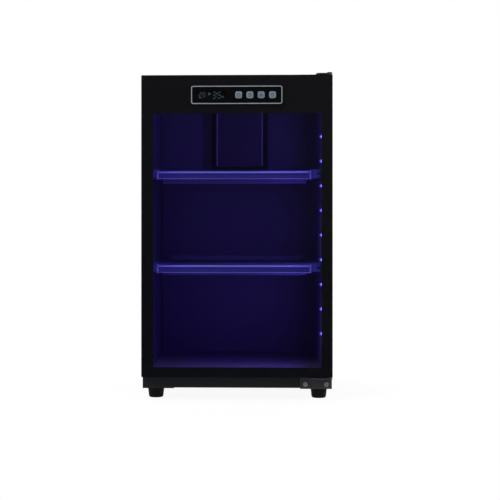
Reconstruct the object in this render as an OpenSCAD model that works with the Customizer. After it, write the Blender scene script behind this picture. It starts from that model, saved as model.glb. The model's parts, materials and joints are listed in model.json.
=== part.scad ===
// Camera dry cabinet: folded steel case on four feet, with a full-width glass door hinged on
// the right, a control strip in its header, two pull-out shelves, a lamp strip behind the
// right front flange and a thermoelectric drying unit on the back wall.
// The frame: X to the right, Y to the rear, Z up. X and Y are zero at the middle of the
// whole cabinet, and Z is zero at the underside of the feet. All sizes are in millimetres.

/* [Case] */
// Width of the case and of the door
body_w = 390; // [360:1:430]
// Height of the steel case without its feet
case_h = 642.6; // [600:0.2:700]
// Depth of the steel case with its back panel
case_d = 352; // [300:1:400]
// Thickness of the folded steel sheet
sheet_t = 1; // [0.8:0.1:1.4]
// Bend radius on the outside of the folded top edges
bend_r = 3; // [2:0.5:5]
// Width of the left wall from its skin to its lining
side_left = 14; // [12:0.5:18]
// Width of the right wall from its skin to its lining
side_right = 19; // [16:0.5:24]
// Height of the flange under the roof that the door seal meets
rim_top = 15; // [13:0.5:20]
// Height of the hollow base under the floor
base_h = 32; // [28:1:40]
// Height of the sill above the floor
sill_h = 5; // [4:0.5:8]

/* [Feet] */
// Height of the case above the surface it stands on
foot_h = 23; // [16:1:28]
// Diameter of a foot at its top
foot_top_d = 34; // [28:1:38]
// Diameter of a foot at the floor
foot_low_d = 30; // [22:1:32]
// Distance of a foot's centre from the side of the case
foot_inset_x = 25.5; // [24:0.5:40]
// Distance of a foot's centre from the front and the back of the case
foot_inset_y = 30; // [26:1:60]
// Thickness of the corner plates under the case
corner_t = 1.5; // [1:0.1:2.5]

/* [Door] */
// Gap between the upper hinge plate and the door
door_play = 1.2; // [1:0.1:2]
// Height of the door's lower edge above the underside of the case
door_low = 25; // [22:0.5:30]
// Thickness of the door's glass
glass_t = 4; // [3:0.5:6]
// Thickness of the foam tape that holds the glass
tape_t = 1; // [0.5:0.1:2]
// Depth of the moulded door frame
frame_d = 25; // [22:0.5:32]
// Gap between the door frame and the case, filled by the seal
door_gap = 3; // [2.5:0.1:5]
// Width of the dark border left of the window
stile_left = 24.5; // [20:0.5:32]
// Width of the dark border right of the window
stile_right = 22.7; // [20:0.1:32]
// Height of the door header above the window
header_h = 78.2; // [70:0.2:95]
// Height of the dark border under the window
rail_low = 20.2; // [16:0.2:28]

/* [Hinges] */
// Width of the hinge plates
hinge_w = 65; // [55:1:75]
// Thickness of the hinge plates
hinge_t = 2.5; // [2:0.1:3]
// Diameter of the hinge pins
pin_d = 6; // [5:0.5:7]
// Distance of the pin's axis from the right side of the door
pin_inset = 5.6; // [5.4:0.1:8]
// Distance of the pin's axis behind the front of the glass
pin_back = 12; // [11:0.5:16]
// Length of a pin inside the door
pin_reach = 12; // [8:1:20]
// Radial clearance between a pin and its bush
pin_clear = 0.05; // [0.02:0.01:0.1]

/* [Control strip] */
// Width of the bright frame round the controls
strip_w = 185.6; // [160:0.2:220]
// Height of the bright frame round the controls
strip_h = 36.9; // [32:0.1:44]
// Width of the frame's bright line
strip_line = 1.8; // [1.5:0.1:3]
// Height of the frame in front of the glass
strip_proud = 1; // [0.6:0.1:2]
// Distance of the controls' middle line from the top of the door
strip_drop = 41; // [34:0.1:48]
// Side of a key
key_s = 14; // [11:0.5:18]
// Distance from one key to the next
key_pitch = 23; // [20:0.5:27]
// Distance of the first key from the middle of the strip
key_first = 3.9; // [2:0.1:6]
// Travel of a key
key_travel = 0.8; // [0.3:0.1:1]
// Width of the display window
display_w = 60; // [44:1:70]
// Height of the display window
display_h = 18; // [14:0.5:22]
// Distance of the display's middle from the middle of the strip, to the left
display_x = 52.2; // [45:0.2:56]

/* [Shelves] */
// Distance from one support slot to the next
slot_pitch = 12.95; // [11:0.05:16]
// Number of support slots below the one that the lower shelf hangs in
lower_slot_count = 14; // [11:1:17]
// Number of support slots below the one that the upper shelf hangs in
upper_slot_count = 29; // [27:1:31]
// Depth of a shelf with its front trim
shelf_d = 300; // [240:5:310]
// Height of the shelf's front trim
trim_h = 18.5; // [15:0.5:19]
// Thickness of the shelf's front trim
trim_t = 6; // [5:0.5:8]
// Distance of the shelf's front behind the front of the case
shelf_set = 10; // [8:0.5:14]
// Room between the left wall and a shelf, for its rail
rail_room_left = 14.5; // [11:0.5:18]
// Room between the right wall and a shelf, for its rail and the lamp strip
rail_room_right = 22.5; // [18:0.5:26]

/* [Lamp strip] */
// Number of lamps
led_count = 9; // [5:1:10]
// Distance from one lamp to the next
led_pitch = 50.9; // [45:0.1:54]
// Height of the lowest lamp above the underside of the case
led_first = 111; // [90:0.5:120]

/* [Drying unit] */
// Width of the drying unit at the back wall
unit_w = 130; // [116:1:160]
// Height of the drying unit
unit_h = 150; // [130:1:165]
// Depth of the drying unit in front of the back wall
unit_d = 46; // [36:1:56]
// Width of each slanted side of the unit, seen from the front
unit_slant = 13; // [10:0.5:18]
// Distance of the unit's top under the roof
unit_drop = 22; // [18:1:30]
// Distance from one louvre of the unit to the next
louvre_pitch = 6.5; // [5.5:0.1:8]
// Number of louvres on each side of the unit
louvre_count = 15; // [8:1:15]
// Depth of the vent cover behind the back panel
vent_d = 14; // [13:0.5:20]
// Width of the vent cover
vent_w = 112; // [104:1:140]

/* [Hidden] */
$fn = 48;

// Overrun of every cut past the face that it opens
overrun = 1;
// Gap between pieces that seat on each other but may move
seat_gap = 0.3;
// Gap round a piece that slips into a hole or between two walls
slip = 0.2;

// Places across the cabinet
x_right = body_w / 2;
x_left = -x_right;
inner_l = x_left + side_left;
inner_r = x_right - side_right;
tray_l = inner_l + rail_room_left;
tray_r = inner_r - rail_room_right;

// Places along the depth, with the foremost and the rearmost faces equally far from zero
overall_d = strip_proud + glass_t + tape_t + frame_d + door_gap + case_d + vent_d;
y_glass = strip_proud - overall_d / 2;
y_tape = y_glass + glass_t;
y_frame = y_tape + tape_t;
y_door = y_frame + frame_d;
y_case = y_door + door_gap;
y_back = y_case + case_d;
y_panel = y_back - sheet_t;
y_pin = y_glass + pin_back;
x_pin = x_right - pin_inset;

// Places up the cabinet
case_z = foot_h;
case_top = case_z + case_h;
roof_z = case_top - sheet_t;
deck_z = case_z + base_h;
sill_z = deck_z + sill_h;
door_z = case_z + door_low;
door_top = case_top - door_play;
window_z = door_z + rail_low;
window_top = door_top - header_h;
strip_z = door_top - strip_drop;

// Sizes of the corner plates and the screws that hold them
corner_y = 60;
foot_screw_d = 6;
foot_hole_d = 6.4;
foot_head_d = 12;
foot_head_t = 5;
foot_nut_d = 11;
foot_nut_t = 4;
foot_recess_d = 15;
foot_recess_t = 8;
foot_edge = 2;

// Sizes of the hinge plates, pins and bushes
tongue_front = 9;
tongue_r = 9;
lower_tongue_w = 45;
upper_tongue_w = 33.4;
hinge_depth = 60;
head_d = 11;
head_t = 2;
half_turn = 180;
bush_wall = 1.3;
bush_flange_d = 10.8;
bush_flange_t = door_play - seat_gap;
screw_d = 4;
screw_head_d = 9.6;
screw_head_t = 2.6;
screw_hole_d = 4.4;
screw_length = 12;
flush_head_d = 8;
hinge_screw_in = 10.5;
hinge_screw_right = 11.5;
hinge_screw_z = 8;
hinge_row_y = 18;
hinge_far_y = 45;
tongue_z = door_z - door_play;

// Sizes of the wall linings and their slots
slot_w = 3;
slot_h = 8;
slot_rise = 31.9;
slot_row = 45;
slot_top_room = 20;
slot_count = floor((roof_z - slot_top_room - deck_z - slot_rise) / slot_pitch) + 1;
hook_drop = 9;
slot_low_z = deck_z + slot_rise;
lower_top = slot_low_z + lower_slot_count * slot_pitch + hook_drop;
upper_top = slot_low_z + upper_slot_count * slot_pitch + hook_drop;

// Sizes of the duct in the rear right corner and of the mat
duct_x = 8;
duct_y = 20;
duct_t = 1.2;
mat_play = 1;
mat_r = 6;

// Sizes of the shelf rails and the shelves
side_play = 1;
rail_lip = 3.5;
rail_ledge = 7;
rail_t = 1.5;
rail_play = 0.5;
rail_set = 2;
rail_end = 25;
rail_hole_d = 4.2;
rail_hole_in = 4.5;
lamp_room = 3.4;
hook_t = 2.4;
hook_h = 7;
hook_reach = 3;
hook_pad = 24;
tray_lip = 12;
tray_rear = 10;
glide_t = 2;
glide_w = 6;
glide_l = 40;
brace_in = 8;
brace_back = 55;
brace_h = 25;
brace_d = 25;
bead_r = 3;
bead_low_r = 1.5;
groove_r = 14;
groove_t = 1.2;
groove_mid_share = 0.52;
glide_in = 12;

// Sizes of the lamp strip
led_bar_t = 1;
led_bar_w = 12;
led_tape_t = 0.4;
led_tape_w = 10;
led_s = 5;
led_t = 1;
led_lens_d = 4;
led_set = 5;
led_end = 22;

// Sizes of the drying unit
unit_wall = 2;
unit_side = 22;
louvre_gap = 3;
louvre_end = 3;
louvre_tilt = 30;
louvre_low = 40;
panel_inset = 8;
panel_deep = 0.8;
unit_z = roof_z - unit_drop - unit_h;
sink_w = 80;
sink_room = 25;
sink_h = unit_h - 2 * sink_room;
sink_base = 4;
sink_fin_t = 1.4;
sink_fins = 12;
cold_fin = 18;
tec_s = 40;
tec_t = 3.8;
tec_hole = 44;
foam_s = 76;
hot_base = 3;
hot_fin = 8;
sink_z = unit_z + unit_h / 2;
wick_w = 50;
wick_t = 2;
wick_in = 18;
wick_out = 10;
wick_hole = 0.4;
vent_wall = 1.2;
vent_flange = 8;
vent_r = 4;
vent_less = 10;
vent_h = unit_h - vent_less;
vent_slot_pitch = 9;
vent_slots = floor((vent_h - 2 * vent_flange) / vent_slot_pitch) - 1;
vent_slot_h = 4;
vent_slot_w = 84;
sensor_d = 24;
sensor_h = 9;
sensor_slots = 8;
sensor_slot_w = 2;
sensor_slot_h = 5;
sensor_cap = 2;
sensor_x = 100;
sensor_y = 120;

// Sizes of the power inlet and the board in the base
inlet_in = 45;
inlet_rise = 16;
inlet_d = 11;
inlet_hole_d = 11.4;
inlet_flange_d = 15;
inlet_flange_t = 2;
inlet_body = 14;
inlet_bore_d = 5.6;
inlet_bore_l = 10;
inlet_pin_d = 2;
board_w = 120;
board_d = 70;
board_t = 1.6;
board_gap = 30;
board_rise = 5;
post_d = 6;
coil_s = 22;
coil_h = 16;
cap_d = 10;
cap_h = 15;
chip_s = 12;
chip_h = 2;
board_edge = 6;

// Sizes of the back panel's screws and swages
panel_screw_d = 3.5;
panel_head_d = 7;
panel_head_t = 2;
panel_screw_l = 8;
panel_edge = 7;
panel_rows = 4;
swage_w = 10;
swage_t = 1.2;
swage_in = 58;

// Sizes inside the door
door_edge_r = 2;
mask_t = 0.3;
window_r = 1.5;
frame_room = 4;
grip_r = 8;
grip_out = 2;
grip_l = 300;
frame_front = 3;
pocket_r = 4;
pocket_side = 40;
pocket_low = 12;
pocket_high = 18;
cover_t = 2;
cover_lap = 5;
cover_gap = 0.3;
cover_screw_in = 10;
cover_screw_d = 3;
cover_head_d = 5.6;
cover_head_t = 1.4;
cover_post = 9;
seal_w = 9;
seal_edge = 2.5;
seal_crown = 4;
seal_base = 1.4;
seal_r = 3;

// Sizes of the controls
strip_r = 4.5;
fascia_back = 0.8;
fascia_t = 2;
fascia_wall = 2;
skirt_t = 0.8;
fascia_flange = 4;
fascia_flange_t = 2;
key_r = 4;
key_proud = 0.4;
key_flange = 1;
key_flange_t = 1;
key_stem_d = 5;
lens_t = 1.2;
lens_lap = 1.5;
display_r = 1.5;
circuit_t = 1.6;
circuit_inset = 1;
plug_w = 12;
plug_h = 5;
switch_s = 6;
switch_h = 2;
key_names = ["power_key", "menu_key", "up_key", "light_key"];
y_fascia = y_glass - strip_proud + fascia_back;
y_plate = y_fascia + fascia_t;
y_circuit = y_frame + frame_front + fascia_flange_t;

case_color = [0.10, 0.11, 0.12];
lining_color = [0.20, 0.18, 0.42];
dark_color = [0.05, 0.055, 0.06];
steel_color = [0.55, 0.58, 0.62];
pale_color = [0.62, 0.67, 0.75];
shelf_color = [0.42, 0.48, 0.86];
board_color = [0.08, 0.32, 0.18];

// A box between two corners
module block(x0, x1, y0, y1, z0, z1) {
    translate([x0, y0, z0])
        cube([x1 - x0, y1 - y0, z1 - z0]);
}

// A flat rectangle with round corners, round its middle
module round_rect(w, h, r) {
    if (h > 2 * r)
        square([w, h - 2 * r], center = true);
    if (w > 2 * r)
        square([w - 2 * r, h], center = true);
    for (sx = [-1, 1])
        for (sy = [-1, 1])
            translate([sx * (w / 2 - r), sy * (h / 2 - r)])
                circle(r);
}

// A flat rectangle between two corners
module rect(x0, x1, z0, z1) {
    translate([x0, z0])
        square([x1 - x0, z1 - z0]);
}

// Stands a flat shape up, facing the front, from y0 to y1
module front_plate(y0, y1) {
    translate([0, y1, 0])
        rotate([90, 0, 0])
            linear_extrude(y1 - y0)
                children();
}

// Runs a profile drawn in Y and Z from x0 to x1
module along_x(x0, x1) {
    translate([x0, 0, 0])
        rotate([90, 0, 90])
            linear_extrude(x1 - x0)
                children();
}

// A round hole or rod along Y
module rod_y(x, z, y0, y1, d) {
    translate([x, y0, z])
        rotate([-90, 0, 0])
            cylinder(d = d, h = y1 - y0);
}

// A round hole or rod along Z
module rod_z(x, y, z0, z1, d) {
    translate([x, y, z0])
        cylinder(d = d, h = z1 - z0);
}

// The outline of the wrapped sheet, seen from the front, with its top edges bent round
module case_outline(inset) {
    w = body_w - 2 * inset;
    r = max(bend_r - inset, inset);
    top = case_top - inset;
    rect(-w / 2, w / 2, case_z, top - r);
    rect(r - w / 2, w / 2 - r, case_z, top);
    for (s = [-1, 1])
        translate([s * (w / 2 - r), top - r])
            circle(r);
}

// The flanges round the front or the back of the case, as a flat shape
module case_flange(low) {
    difference() {
        intersection() {
            case_outline(sheet_t);
            rect(x_left, x_right, low, case_top);
        }
        rect(inner_l, inner_r, low - overrun, case_top - rim_top);
    }
}

// Sides and roof in one folded sheet, with a flange round the front and the back
module outer_case() {
    color(case_color) {
        difference() {
            front_plate(y_case, y_panel)
                difference() {
                    case_outline(0);
                    case_outline(sheet_t);
                    rect(x_left + sheet_t, x_right - sheet_t, case_z - overrun, roof_z - bend_r);
                }
            for (p = upper_screw_places())
                rod_z(p[0], p[1], roof_z - overrun, case_top + overrun, screw_hole_d);
        }
        difference() {
            union() {
                front_plate(y_case, y_case + sheet_t)
                    case_flange(sill_z);
                front_plate(y_panel - sheet_t, y_panel)
                    case_flange(deck_z);
            }
            panel_screw_holes(y_panel - sheet_t - overrun, y_panel + overrun);
        }
    }
}

// Places of the screws round the back panel
function panel_places() = concat(
    [for (i = [0 : panel_rows - 1], s = [-1, 1])
        [s * (x_right - panel_edge),
         deck_z + panel_edge + i * (roof_z - deck_z - 2 * panel_edge) / (panel_rows - 1)]],
    [for (s = [-1, 1]) [s * x_right / 3, roof_z - panel_edge]]
);

module panel_screw_holes(y0, y1) {
    for (p = panel_places())
        rod_y(p[0], p[1], y0, y1, panel_screw_d + slip);
}

// Flat sheet that closes the back, with two swages, the cooler's window and the inlet's hole
module back_panel() {
    color(case_color)
        difference() {
            union() {
                front_plate(y_panel, y_back)
                    case_outline(0);
                for (s = [-1, 1])
                    swage(s * (x_right - swage_in));
            }
            block(-tec_hole / 2, tec_hole / 2, y_panel - overrun, y_back + overrun,
                  sink_z - tec_hole / 2, sink_z + tec_hole / 2);
            block(-wick_w / 2 - wick_hole, wick_w / 2 + wick_hole, y_panel - overrun,
                  y_back + overrun, wick_z() - wick_hole, wick_z() + wick_t + wick_hole);
            for (p = vent_screw_places())
                rod_y(p[0], p[1], y_panel - overrun, y_back + overrun, panel_screw_d + slip);
            rod_y(x_left + inlet_in, case_z + inlet_rise, y_panel - overrun, y_back + overrun,
                  inlet_hole_d);
            panel_screw_holes(y_panel - overrun, y_back + swage_t + overrun);
        }
}

// A vertical stiffening swage pressed out of the back panel
module swage(x) {
    front_plate(y_back, y_back + swage_t)
        translate([x, (deck_z + case_top) / 2])
            round_rect(swage_w, case_top - deck_z - 2 * swage_in, swage_w / 2);
}

// Hollow base: floor deck, underside and the sill that shows under the door
module base_pan() {
    half = x_right - sheet_t - slip;
    color(case_color)
        difference() {
            union() {
                block(-half, half, y_case, y_panel, case_z, deck_z);
                block(-half, half, y_case, y_case + sheet_t, case_z, sill_z);
            }
            block(sheet_t - half, half - sheet_t, y_case + sheet_t, y_panel + overrun,
                  case_z + sheet_t, deck_z - sheet_t);
            for (p = foot_places())
                rod_z(p[0], p[1], case_z - overrun, case_z + sheet_t + overrun, foot_hole_d);
            for (x = lower_screw_places())
                rod_y(x, case_z + hinge_screw_z, y_case - overrun, y_case + sheet_t + overrun,
                      screw_hole_d);
        }
}

// A flat lining sheet with two rows of slots for the shelf rails
module lining(x0) {
    along_x(x0, x0 + sheet_t)
        difference() {
            rect(y_case + sheet_t, y_panel - sheet_t, deck_z, roof_z);
            for (y = slot_rows())
                for (i = [0 : slot_count - 1])
                    rect(y - slot_w / 2, y + slot_w / 2,
                         slot_z(i) - slot_h / 2, slot_z(i) + slot_h / 2);
        }
}

function slot_rows() = [y_case + slot_row, y_panel - slot_row];
function slot_z(i) = slot_low_z + i * slot_pitch;

module left_lining() {
    color(lining_color)
        lining(inner_l - sheet_t);
}

module right_lining() {
    color(lining_color)
        lining(inner_r);
}

// Cover strip in the rear right corner over the leads of the lamps and the cooler
module cable_duct() {
    y1 = y_panel - sheet_t;
    color(lining_color)
        difference() {
            block(inner_r - duct_x, inner_r, y1 - duct_y, y1, deck_z, roof_z - rim_top);
            block(inner_r - duct_x + duct_t, inner_r + overrun, y1 - duct_y + duct_t,
                  y1 + overrun, deck_z - overrun, roof_z);
        }
}

// Soft mat on the floor, cut out round the duct
module floor_mat() {
    w = inner_r - inner_l - 2 * mat_play;
    d = y_panel - y_case - 2 * sheet_t - 2 * mat_play;
    color([0.24, 0.20, 0.44])
        difference() {
            translate([(inner_l + inner_r) / 2, (y_case + y_panel) / 2, deck_z])
                linear_extrude(sill_h)
                    round_rect(w, d, mat_r);
            block(inner_r - duct_x - mat_play, x_right, y_panel - sheet_t - duct_y - mat_play,
                  y_back, deck_z - overrun, sill_z + overrun);
        }
}

function foot_places() = [
    for (sx = [-1, 1], y = [y_case + foot_inset_y, y_back - foot_inset_y])
        [sx * (x_right - foot_inset_x), y]
];

// Plates under three corners of the case; the lower hinge plate takes the fourth
module corner_plates() {
    color(case_color)
        for (place = [[x_left, y_case], [x_left, y_back - corner_y],
                      [x_right - hinge_w, y_back - corner_y]])
            difference() {
                block(place[0], place[0] + hinge_w, place[1], place[1] + corner_y,
                      case_z - corner_t, case_z);
                for (p = foot_places())
                    rod_z(p[0], p[1], case_z - corner_t - overrun, case_z + overrun,
                          foot_hole_d);
            }
}

// Four tapered rubber feet, each recessed for its screw's head
module feet() {
    h = case_z - corner_t;
    color(dark_color)
        for (p = foot_places())
            translate([p[0], p[1], 0])
                rotate_extrude()
                    polygon([
                        [foot_recess_d / 2, 0],
                        [foot_low_d / 2 - foot_edge, 0],
                        [foot_low_d / 2, foot_edge],
                        [foot_top_d / 2, h - foot_edge],
                        [foot_top_d / 2, h],
                        [foot_hole_d / 2, h],
                        [foot_hole_d / 2, foot_recess_t],
                        [foot_recess_d / 2, foot_recess_t]
                    ]);
}

// Screw and nut of each foot, clamping it and the corner plate to the base
module foot_screws() {
    color(steel_color)
        for (p = foot_places()) {
            rod_z(p[0], p[1], foot_recess_t - foot_head_t, foot_recess_t, foot_head_d);
            rod_z(p[0], p[1], foot_recess_t - overrun, case_z + sheet_t + foot_nut_t + overrun,
                  foot_screw_d);
            translate([p[0], p[1], case_z + sheet_t])
                cylinder(d = foot_nut_d, h = foot_nut_t, $fn = 6);
        }
}

module panel_screws() {
    color(steel_color) {
        for (p = panel_places()) {
            rod_y(p[0], p[1], y_back, y_back + panel_head_t, panel_head_d);
            rod_y(p[0], p[1], y_back - panel_screw_l, y_back + overrun, panel_screw_d);
        }
        for (p = vent_screw_places()) {
            rod_y(p[0], p[1], y_back + vent_wall, y_back + vent_wall + panel_head_t,
                  panel_head_d);
            rod_y(p[0], p[1], y_back - panel_screw_l, y_back + vent_wall + overrun,
                  panel_screw_d);
        }
    }
}

function lower_screw_places() = [
    x_right - hinge_w + hinge_screw_in, x_right - hinge_screw_right
];
function upper_screw_places() = [
    [x_right - hinge_w + hinge_screw_in, y_case + hinge_row_y],
    [x_right - hinge_screw_right, y_case + hinge_row_y],
    [x_right - hinge_w / 2, y_case + hinge_far_y]
];

// A tongue with round front corners that carries a hinge pin, as a flat shape
module tongue(w, y1) {
    y0 = y_pin - tongue_front;
    rect(x_right - w + tongue_r, x_right - tongue_r, y0, y1);
    rect(x_right - w, x_right, y0 + tongue_r, y1);
    for (x = [x_right - w + tongue_r, x_right - tongue_r])
        translate([x, y0 + tongue_r])
            circle(tongue_r);
}

// Folded plate at the lower right corner: front leaf, tongue and the leaf under the case
module lower_hinge_plate() {
    x0 = x_right - hinge_w;
    color([0.16, 0.17, 0.19])
        difference() {
            union() {
                block(x0, x_right, y_case - hinge_t, y_case, case_z - corner_t, tongue_z);
                block(x0, x_right, y_case - hinge_t, y_case + corner_y, case_z - corner_t,
                      case_z);
                translate([0, 0, tongue_z - hinge_t])
                    linear_extrude(hinge_t)
                        tongue(lower_tongue_w, y_case);
            }
            rod_z(x_pin, y_pin, tongue_z - hinge_t - overrun, tongue_z + overrun, pin_d);
            for (x = lower_screw_places())
                rod_y(x, case_z + hinge_screw_z, y_case - hinge_t - overrun, y_case + overrun,
                      screw_hole_d);
            for (p = foot_places())
                rod_z(p[0], p[1], case_z - corner_t - overrun, case_z + overrun, foot_hole_d);
        }
}

// Flat plate on the roof with a tongue over the door
module upper_hinge_plate() {
    color([0.16, 0.17, 0.19])
        difference() {
            translate([0, 0, case_top])
                linear_extrude(hinge_t) {
                    tongue(upper_tongue_w, y_case + hinge_row_y);
                    rect(x_right - hinge_w, x_right, y_case, y_case + hinge_depth);
                }
            rod_z(x_pin, y_pin, case_top - overrun, case_top + hinge_t + overrun, pin_d);
            for (p = upper_screw_places())
                translate([p[0], p[1], case_top])
                    flush_screw(slip, hinge_t + overrun);
        }
}

// A countersunk screw from the plate's underside up, or the hole for it
module flush_screw(play, height) {
    translate([0, 0, -overrun])
        cylinder(d = screw_d + play, h = height + overrun);
    translate([0, 0, hinge_t - (flush_head_d - screw_d) / 2])
        cylinder(d1 = screw_d + play, d2 = flush_head_d + play, h = (flush_head_d - screw_d) / 2);
}

// Headed pins pressed into the two tongues
module hinge_pins() {
    color(steel_color) {
        rod_z(x_pin, y_pin, door_top - pin_reach, case_top + hinge_t + head_t / 2, pin_d);
        rod_z(x_pin, y_pin, case_top + hinge_t, case_top + hinge_t + head_t, head_d);
        rod_z(x_pin, y_pin, tongue_z - hinge_t - head_t / 2, door_z + pin_reach, pin_d);
        rod_z(x_pin, y_pin, tongue_z - hinge_t - head_t, tongue_z - hinge_t, head_d);
    }
}

module hinge_screws() {
    color(pale_color) {
        for (x = lower_screw_places())
            difference() {
                union() {
                    rod_y(x, case_z + hinge_screw_z, y_case - hinge_t - screw_head_t,
                          y_case - hinge_t, screw_head_d);
                    rod_y(x, case_z + hinge_screw_z, y_case - hinge_t - overrun,
                          y_case - hinge_t + screw_length, screw_d);
                }
                cross_slot(x);
            }
        for (p = upper_screw_places())
            translate([p[0], p[1], case_top]) {
                flush_screw(0, hinge_t);
                translate([0, 0, hinge_t - screw_length])
                    cylinder(d = screw_d, h = screw_length);
            }
    }
}

// The cross cut in the head of a lower hinge screw
module cross_slot(x) {
    y0 = y_case - hinge_t - screw_head_t;
    l = screw_head_d / 2;
    w = screw_head_t / 2;
    for (a = [0, 90])
        translate([x, y0, case_z + hinge_screw_z])
            rotate([0, a, 0])
                block(-l / 2, l / 2, -overrun, w, -w / 2, w / 2);
}

// Aluminium bar on the right lining that carries the lamp tape
module led_bar() {
    color(steel_color)
        block(inner_r - led_bar_t, inner_r, y_case + led_set, y_case + led_set + led_bar_w,
              deck_z + led_end, case_top - rim_top - led_end);
}

// Flexible circuit stuck on the bar
module led_tape() {
    x = inner_r - led_bar_t;
    y = y_case + led_set + led_bar_w / 2;
    color([0.80, 0.82, 0.88])
        block(x - led_tape_t, x, y - led_tape_w / 2, y + led_tape_w / 2,
              deck_z + led_end, case_top - rim_top - led_end);
}

// The lamps: a square body with a round lens each, facing the left wall
module led_chips() {
    x = inner_r - led_bar_t - led_tape_t;
    y = y_case + led_set + led_bar_w / 2;
    color([0.85, 0.80, 1.00])
        for (i = [0 : led_count - 1]) {
            z = case_z + led_first + i * led_pitch;
            block(x - led_t, x, y - led_s / 2, y + led_s / 2, z - led_s / 2, z + led_s / 2);
            translate([x - led_t, y, z])
                rotate([0, -90, 0])
                    cylinder(d1 = led_lens_d, d2 = led_lens_d - led_t, h = led_t / 2);
        }
}

// One shelf rail from the wall at xw to its inner side at xi, as a flat shape facing front
module rail_profile(xw, xi, top) {
    s = sign(xi - xw);
    low = rail_low_z(top);
    high = top + rail_play + rail_t;
    mid = (low + high) / 2;
    x_hole = xw + s * rail_hole_in;
    x_pocket = x_hole + s * (rail_hole_d / 2 + rail_t);
    difference() {
        rect(min(xw, xi), max(xw, xi), low, high);
        translate([x_hole, mid])
            circle(d = rail_hole_d);
        rect(min(x_pocket, xi - s * rail_t), max(x_pocket, xi - s * rail_t),
             low + rail_t, high - rail_t);
    }
}

// The rail's ledge under the shelf and its lip over it, as a flat shape facing front
module rail_ledges(xw, xi, top) {
    s = sign(xi - xw);
    low = rail_low_z(top);
    high = top + rail_play + rail_t;
    x0 = xi - s * rail_t;
    x_ledge = xi + s * (side_play + rail_ledge);
    x_lip = xi + s * (side_play + rail_lip);
    rect(min(x0, x_ledge), max(x0, x_ledge), low, low + rail_t);
    rect(min(x0, x_lip), max(x0, x_lip), high - rail_t, high);
}

function rail_low_z(top) = top - tray_lip - glide_t - seat_gap - rail_t;

// A pair of rails that a shelf slides in, hooked into the slots of the linings
module shelf_rails(top) {
    y0 = y_case + shelf_set + rail_set;
    y1 = y_panel - rail_end;
    hook_z = top - hook_drop;
    color(lining_color) {
        front_plate(y0, y1) {
            rail_profile(inner_l, tray_l - side_play, top);
            rail_profile(inner_r - lamp_room, tray_r + side_play, top);
        }
        front_plate(y_case + shelf_set + trim_t + rail_set, y1) {
            rail_ledges(inner_l, tray_l - side_play, top);
            rail_ledges(inner_r - lamp_room, tray_r + side_play, top);
        }
        for (y = slot_rows()) {
            block(inner_l - sheet_t - hook_reach, inner_l + overrun, y - hook_t / 2,
                  y + hook_t / 2, hook_z - hook_h / 2, hook_z + hook_h / 2);
            block(inner_r - lamp_room - overrun, inner_r, y - hook_pad / 2, y + hook_pad / 2,
                  rail_low_z(top), top + rail_play + rail_t);
            block(inner_r - overrun, inner_r + sheet_t + hook_reach, y - hook_t / 2,
                  y + hook_t / 2, hook_z - hook_h / 2, hook_z + hook_h / 2);
        }
    }
}

module upper_shelf_rails() {
    shelf_rails(upper_top);
}

module lower_shelf_rails() {
    shelf_rails(lower_top);
}

// Folded tray with lips on all sides, an upstand at the rear and a channel welded under it
module shelf(top) {
    y0 = y_case + shelf_set + trim_t;
    y1 = y_case + shelf_set + shelf_d;
    yb = y0 + brace_back;
    xl = tray_l + brace_in;
    xr = tray_r - brace_in;
    color(shelf_color) {
        difference() {
            block(tray_l, tray_r, y0, y1, top - tray_lip, top);
            block(tray_l + sheet_t, tray_r - sheet_t, y0 + sheet_t, y1 - sheet_t,
                  top - tray_lip - overrun, top - sheet_t);
        }
        block(tray_l + sheet_t, tray_r - sheet_t, y0, y0 + sheet_t, top - trim_h + sheet_t,
              top - sheet_t);
        block(xl, xr, y1 - sheet_t, y1, top - sheet_t, top + tray_rear);
        difference() {
            block(xl, xr, yb, yb + brace_d, top - brace_h, top - sheet_t);
            block(xl - overrun, xr + overrun, yb + sheet_t, yb + brace_d - sheet_t,
                  top - brace_h + sheet_t, top - sheet_t);
        }
    }
}

// Extruded front trim: a fat upper bead, a hollow face and a thin lower bead
module shelf_trim(top) {
    y0 = y_case + shelf_set;
    y1 = y0 + trim_t;
    color([0.60, 0.64, 0.98])
        along_x(tray_l, tray_r)
            difference() {
                union() {
                    rect(y0 + bead_r, y1, top - trim_h, top);
                    rect(y0, y1, top - trim_h + bead_low_r, top - bead_r);
                    translate([y0 + bead_r, top - bead_r])
                        circle(bead_r);
                    translate([y0 + bead_low_r, top - trim_h + bead_low_r])
                        circle(bead_low_r);
                    rect(y0 + bead_low_r, y1, top - trim_h, top - bead_r);
                }
                translate([y0 - groove_r + groove_t, top - groove_mid_share * trim_h])
                    circle(groove_r);
            }
}

// Nylon glides under the side lips, one pair at the front and one at the rear
module shelf_glides(top) {
    y0 = y_case + shelf_set + trim_t + glide_in;
    y1 = y_case + shelf_set + shelf_d - glide_in;
    z = top - tray_lip;
    color([0.85, 0.85, 0.88])
        for (y = [y0, y1 - glide_l])
            for (x = [tray_l, tray_r - glide_w])
                block(x, x + glide_w, y, y + glide_l, z - glide_t, z);
}

module upper_shelf() {
    shelf(upper_top);
}

module upper_shelf_trim() {
    shelf_trim(upper_top);
}

module upper_shelf_glides() {
    shelf_glides(upper_top);
}

module lower_shelf() {
    shelf(lower_top);
}

module lower_shelf_trim() {
    shelf_trim(lower_top);
}

module lower_shelf_glides() {
    shelf_glides(lower_top);
}

// Plan of the drying unit's shell up to y1, drawn in X and Y and drawn in by inset
module unit_plan(inset, y1) {
    back = unit_w / 2 - inset;
    face = unit_w / 2 - unit_slant - inset * tan((90 - unit_angle()) / 2);
    side = y_panel - unit_side + inset * tan(unit_angle() / 2);
    polygon([
        [-back, y1], [-back, side], [-face, y_panel - unit_d + inset],
        [face, y_panel - unit_d + inset], [back, side], [back, y1]
    ]);
}

// Angle between a slanted side of the unit and the cabinet's depth
function unit_angle() = atan(unit_slant / (unit_d - unit_side));

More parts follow.
